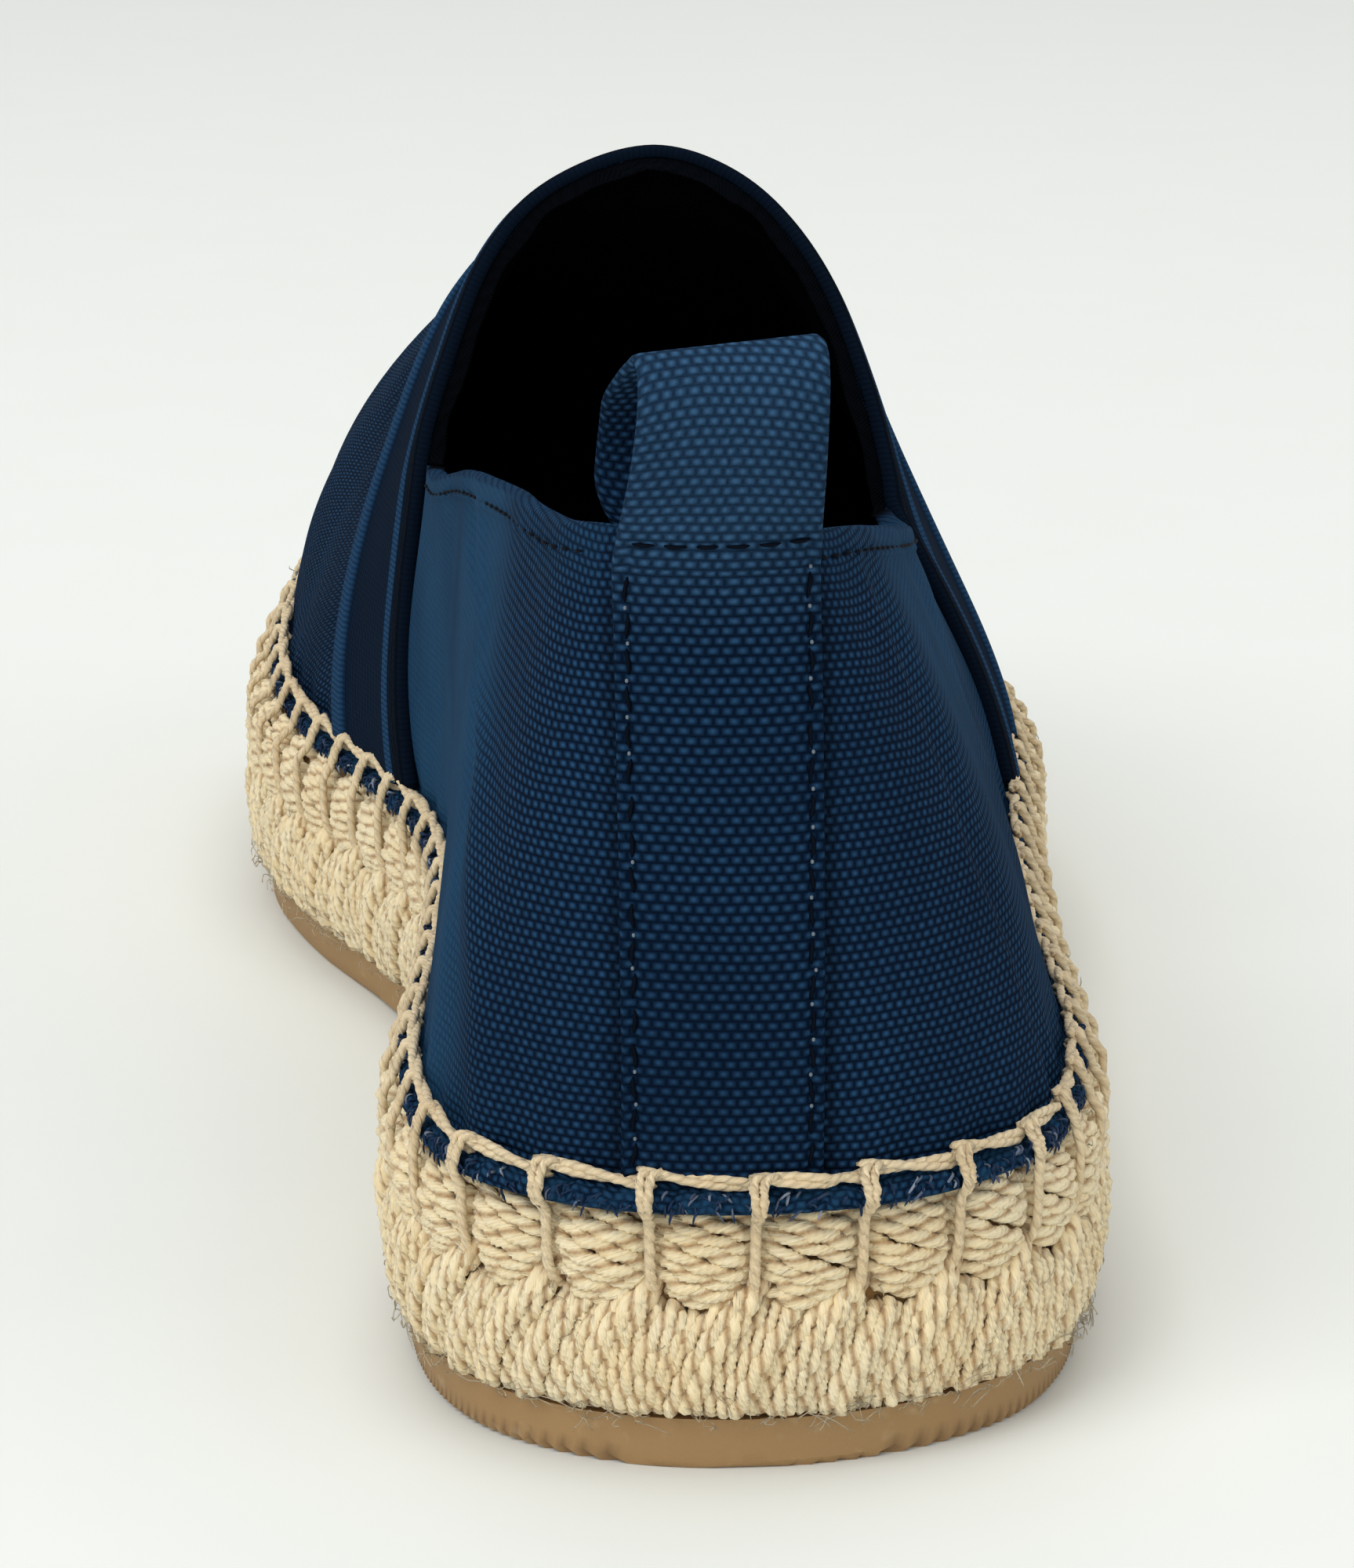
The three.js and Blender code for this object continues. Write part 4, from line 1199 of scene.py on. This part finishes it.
def make_stitches(rng):
    """Thread over the hem. For each stitch two strands hook over the chain and run down between
    two leaves of jute to the line between the rows. The chain's two strands wind round each other
    from stitch to stitch along the foot of the canvas, each length a little lower at its end."""
    pitch = ROUND / STITCHES
    at = (np.arange(STITCHES) * pitch)[:, None]
    tilt = rng.normal(0, 0.25, (STITCHES, 1))
    # Points of a hook: along, over the top of the hem, and outward
    hook = np.array([
        [1.25, 0.35, 0.9], [0.75, 1.05, 1.3], [0.05, 1.0, 1.75], [-0.1, 0.2, 2.15],
        [0.0, -0.6, 2.55], [0.0, -1.5, 2.8], [0.0, -2.4, 2.6], [0.0, -3.6, 2.3], [0.0, -5.2, 2.25],
        [0.0, -6.8, 2.2], [0.0, -8.4, 1.95], [0.0, -9.7, 1.35], [0.0, -10.6, 0.5],
        [0.0, -11.1, -0.6],
    ])
    u = np.linspace(0, 1, 34)
    line = through(hook, u, False)
    parts = []
    for beside_line in (-0.52, 0.46):
        a = at + line[:, 0] + beside_line * (0.55 + 0.45 * np.cos(u * np.pi * 1.5)) + tilt * u
        level = line[:, 1] + rng.normal(0, 0.18, (STITCHES, 1)) * u + 0.1 * beside_line
        out = line[:, 2] - foot_inset(a) * step(-3.8, -1.4, level)
        parts.append(twined(a, HEM_TOP + level, out, 0.50, 0.8))
    wind = rng.uniform(0, 6.28, (STITCHES, 1))
    u = np.linspace(-0.10, 1.08, 24)
    for strand in (0, 1):
        a = at + u * pitch
        turns = u * 2 * np.pi * 0.6 + wind + strand * np.pi
        level = 0.95 - 0.95 * u + 0.33 * np.cos(turns) + rng.normal(0, 0.08, (STITCHES, 1))
        out = 1.05 - 0.5 * step(0.85, 1.08, u) + 0.24 * np.sin(turns) - foot_inset(a)
        parts.append(twined(a, HEM_TOP + level, out, 0.46, 0.82))
    tube_piece("blanket_stitch", parts, thread, [0.75] * len(parts))


make_stitches(rng)


# Heel webbing

def on_back(x, z, off):
    """Place on the back of the heel at a width and height, moved off the wall. The climb and the
    share are halved in turn until both hold."""
    s = x / (2 * MEDIAL_LENGTH)
    for _ in range(4):
        c = solve(0.0, 1.04, z, lambda k: wall(s, k)[..., 2])
        s = solve(-0.25, 0.25, x, lambda q: wall(q, c)[..., 0])
    return on_wall(s, c, off)


def make_webbing():
    """Webbing: up the back, over in a loop whose top is paler, partly rubbed wear and partly a
    painted highlight, and down inside, with its two stitched lines sunk. Returns its lanes, and its
    face and outward direction where it is sewn across."""
    rows_up, rows_over, rows_down = 70, 80, 14
    half = WEBBING_WIDTH / 2
    lanes = np.linspace(-half, half, 41)
    bottom = HEM_TOP + 2 * GAP
    top = UPPER_FLOOR + HEEL_HEIGHT
    turn = top - 2 * WEBBING_THICK
    outside = BAND_OFF + BAND_HALF
    inside = -CANVAS_WALL - 0.2 - BAND_HALF
    x = WEBBING_CENTRE + lanes[:, None]
    z = bottom + (turn - bottom) * np.linspace(0, 1, rows_up) + 0 * x
    climb = on_back(x + 0 * z, z, outside)
    centre, level = np.array([[[WEBBING_CENTRE]], [[turn]]], float)
    middle, start, end = (on_back(centre, level, off)[0, 0, 1] for off in (0.0, outside, inside))
    knots = np.vstack([
        [start, turn],
        np.column_stack([middle + LOOP[:, 0] * LOOP_DEPTH, top + LOOP[:, 1] * LOOP_HEIGHT]),
        [end, turn],
    ])
    fine = through(knots, np.linspace(0, 1, 600), False)
    run = lengths(fine, 0)
    u = np.linspace(0, 1, rows_over + 2)[1:-1]
    ahead, above = (np.interp(u * run[-1], run, fine[:, k]) for k in (0, 1))
    z = turn - LOOP_TUCK * np.linspace(0, 1, rows_down) + 0 * x
    down = on_back(x + 0 * z, z, inside)
    bow = np.where(u < 0.5, climb[:, -1:, 1] - start, down[:, :1, 1] - end)
    bow = bow * (1 - np.clip((above - top) / (0.8 * LOOP_HEIGHT), 0, 1))
    first = climb[:, -1:, 0]
    across = first + (down[:, :1, 0] - first) * np.maximum(2 * u - 1, 0)
    lean = np.sin(np.pi * np.clip(u * 1.15, 0, 1)) ** 1.2
    left = 0.5 - lanes[:, None] / WEBBING_WIDTH
    across = across + lean * (0.3 + 1.7 * left)
    across = across - 2.6 * step(0.40, 0.62, u) * step(1.0, 0.78, u)
    over = stack(across, ahead + bow, above - 1.6 * left * lean)
    sheet = np.concatenate([climb, over, down], 1).transpose(1, 0, 2)
    out = unit(np.cross(np.gradient(sheet, axis=1), np.gradient(sheet, axis=0)))
    run = lengths(sheet, 0)
    w = np.abs(lanes)
    crown = np.clip((half - w) / 0.9, 0, 1)
    thick = BAND_HALF * np.sqrt(1 - (1 - crown) ** 2) + 0.05
    seamed = int(np.argmax(sheet[:, len(lanes) // 2, 2] > top - 0.2))
    sewn = run < run[seamed]
    groove = 0.42 * bell(w - SEAM_LINE, 0.42) * sewn
    cross_row = 0.34 * bell(run - run[seamed], 0.45) * (w < 7.5)
    selvedge = 0.20 * bell(w - 8.05, 0.32) * sewn
    face = sheet + out * (thick + selvedge - groove - cross_row)[..., None]
    back = sheet - out * thick[:, None]
    # Paler beads over the top of the loop: partly rubbed wear, partly a painted highlight.
    bare, rubbed, fading, gone = run[rows_up + np.array([-12, 10, 35, 55])]
    tone = 0.05 + 0.40 * step(bare, rubbed, run) * step(gone, fading, run)
    strap(
        "heel_webbing_loop", face, back, stack(lanes, run, 0), tone, webbing,
        ("heel_webbing",),
    )
    return lanes, face[seamed], out[seamed]


crossing = make_webbing()


# Seams

def make_seams(rng, crossing):
    """Sewn lines as short tubes: both sides of the heel webbing, the row across its top, along the
    line crossing, and the fold of the collar. Some holes of the side lines hold a pale speck."""
    parts, tones = [], []
    u = np.linspace(-0.5, 0.5, 6)
    arch = np.cos(u * np.pi)
    upright = np.array([0, 0, 1.0])

    def sew(paths, radius, up, sides=6, tone=0.0):
        parts.append(tubes(paths, radius, sides, up, flat=0.8, taper=2))
        tones.append(tone)

    top = UPPER_FLOOR + HEEL_HEIGHT - 1.2
    face = BAND_OFF + 2 * BAND_HALF - 0.10
    for side in (-SEAM_LINE, SEAM_LINE):
        z = np.arange(HEM_TOP + 2.5, top, 3.0)[:, None]
        z = z + 2.1 * u + rng.normal(0, 0.08, (len(z), 1))
        x = WEBBING_CENTRE + side + 0.12 * np.sin(z * 1.7)
        sew(on_back(x, z, face - 0.12 + 0.16 * arch + 0 * z), 0.19, normal_at(x * 0, 0.5))
        holes = z[:, :1] + 2.55
        z = holes[rng.uniform(0, 1, len(holes)) < 0.7] + 0.35 * u
        x = WEBBING_CENTRE + side + rng.normal(0, 0.1, (len(z), 1)) + 0 * z
        sew(on_back(x, z, face - 0.02 + 0 * z), 0.17, normal_at(x * 0, 0.5), 5, 0.4)
    lanes, row, row_out = crossing
    lane = np.arange(-6.3, 6.8, 2.55)[:, None] + 1.75 * u
    paths, off = (
        stack(*(np.interp(lane, lanes, line[:, k]) for k in range(3))) for line in (row, row_out)
    )
    sew(paths + off * (0.05 + 0.20 * arch)[..., None], 0.23, upright)
    for sign, start in ((-1, 0.10), (1, 0.065)):
        t = sign * (np.arange(start, CORNER - 0.03, 0.0125)[:, None] + 0.0078 * u)
        sew(on_wall(t, COLLAR_SEAM, 0.18 + 0.14 * arch + 0 * t), 0.20, upright)
    tube_piece("sewn_seams", parts, seam, tones)


make_seams(rng, crossing)


# Throat tape

def ahead_of(p):
    """Distance ahead of the throat's plane, square to it in side view."""
    return (p[..., 1] - throat_line(p[..., 0], p[..., 2])) / math.hypot(1, THROAT_LEAN)


def tape_line(distance, steps):
    """Line over the instep at one distance ahead of the throat, hem to hem, in equal steps."""
    lowest = 0.02
    halves = []
    for sign in (-1, 1):
        goal = np.array([float(distance)])
        start = solve(0.25, 0.85, goal, lambda s: ahead_of(wall(sign * s, lowest)))[0]
        s = start + (1 - start) * np.linspace(0, 1, 121) ** 3
        c = solve(0.0, 1.04, -distance + 0 * s, lambda c: -ahead_of(wall(sign * s, c)))
        c[0] = lowest
        halves.append(wall(sign * s, c))
    path = np.vstack([halves[0], halves[1][::-1][1:]])
    run = lengths(path, 0)
    goal = np.linspace(0, run[-1], steps + 1)
    return stack(*(np.interp(goal, run, path[:, k]) for k in range(3)))


def make_tape():
    """Tape over the throat: a dark strip behind, raised borders beside a sunk, corded field."""
    far = TAPE_WIDTH - TAPE_OVERHANG
    at = np.concatenate([
        [-0.3, -0.2, 0.1, 0.6, 1.2, 1.8, 2.3, 2.8, 3.3, 3.8, 4.3, 4.7, 4.95, 5.2, 5.5],
        np.linspace(6.2, far - 4.8, 11),
        far + 0.3 - np.array([4.4, 4.05, 3.75, 3.5, 3.2, 2.7, 2.1, 1.5, 0.9, 0.5, 0.3]),
    ])
    lines = np.stack([tape_line(d, 190) for d in at], 1)
    forward = unit(np.array([THROAT_SKEW, 1, -THROAT_LEAN]))
    out = unit(np.cross(np.gradient(lines, axis=0), forward))
    w = at + TAPE_OVERHANG
    to_front = TAPE_WIDTH - w
    from_edge = np.minimum(w, to_front)
    border = np.maximum(step(5.7, 5.05, w), step(3.95, 3.35, to_front))
    near = np.clip(from_edge / 0.5, 0, 1)
    cord = (0.10 * np.cos(2 * np.pi * w / 1.15) - 0.28 * step(3.0, 2.4, w)) * border
    off = 0.6 + (TAPE_THICK - 0.15) * np.sqrt(1 - (1 - near) ** 2) + TAPE_STEP * border * near + cord
    seat = 0.5 * step(0.0, 1.2, from_edge) - 0.15
    face, back = (lines + out * level[:, None] for level in (off, seat))
    ridge = step(2.5, 3.2, w) * step(5.7, 5.2, w)
    ridge = ridge + step(0.5, 1.1, to_front) * step(4.0, 3.5, to_front)
    strap(
        "throat_tape_band", face, back, stack(w, lengths(lines, 0), 0), ridge - step(2.9, 2.3, w),
        tape, ("throat_tape",), turned=True,
    )


make_tape()


# Studio

def floor_finish():
    """Pale paper sweep."""
    paint = Paint("pale_floor", Specular_IOR_Level=0.2)
    grain = paint.noise(paint.place(), 40.0, 2.0)
    base = paint.mix(tint(238, 241, 236), tint(240, 243, 239), grain)
    return paint.finish(base, 0.9 + grain * 0.02)


def make_floor():
    """Flat sheet under the shoe."""
    mesh = bpy.data.meshes.new("floor")
    far = 6.0
    mesh.from_pydata([(-far, -far, 0), (far, -far, 0), (far, far, 0), (-far, far, 0)], [], [range(4)])
    mesh.materials.append(floor_finish())
    made = bpy.data.objects.new("floor", mesh)
    bpy.context.scene.collection.objects.link(made)


def turned_to(place, aim):
    """Turn of a light or a camera at one point that faces another."""
    return (Vector(aim) - Vector(place)).to_track_quat("-Z", "Y").to_euler()


def softbox(name, place, aim, size, power):
    """Square light that faces a point."""
    data = bpy.data.lights.new(name, "AREA")
    data.size = size
    data.energy = power
    made = bpy.data.objects.new(name, data)
    made.location = place
    made.rotation_euler = turned_to(place, aim)
    bpy.context.scene.collection.objects.link(made)


make_floor()
softbox("key_light", (-1.0, -0.9, 1.5), (0, 0.05, 0.03), 1.2, 15)
softbox("fill_light", (1.2, -0.8, 1.0), (0, 0.05, 0.03), 1.4, 3)
softbox("front_light", (-0.3, -1.5, 0.30), (0, 0.0, 0.0), 0.9, 4)
softbox("top_light", (0.1, 0.5, 1.8), (0, 0.1, 0.03), 1.6, 11)

bpy.context.scene.view_settings.view_transform = "Standard"
world = bpy.data.worlds.new("studio")
bpy.context.scene.world = world
world.use_nodes = True
sky = world.node_tree.nodes["Background"].inputs
sky["Color"].default_value = tint(238, 238, 238)
sky["Strength"].default_value = 0.6

CAMERA_PLACE = (-0.0435, -0.4819, 0.1821)
CAMERA_AIM = (-0.0030, 0.060, 0.0375)
CAMERA_LENS = 127
lens = bpy.data.cameras.new("camera")
lens.lens = CAMERA_LENS
lens.clip_start = 0.01
camera = bpy.data.objects.new("camera", lens)
camera.location = CAMERA_PLACE
camera.rotation_euler = turned_to(CAMERA_PLACE, CAMERA_AIM)
bpy.context.scene.collection.objects.link(camera)
bpy.context.scene.camera = camera
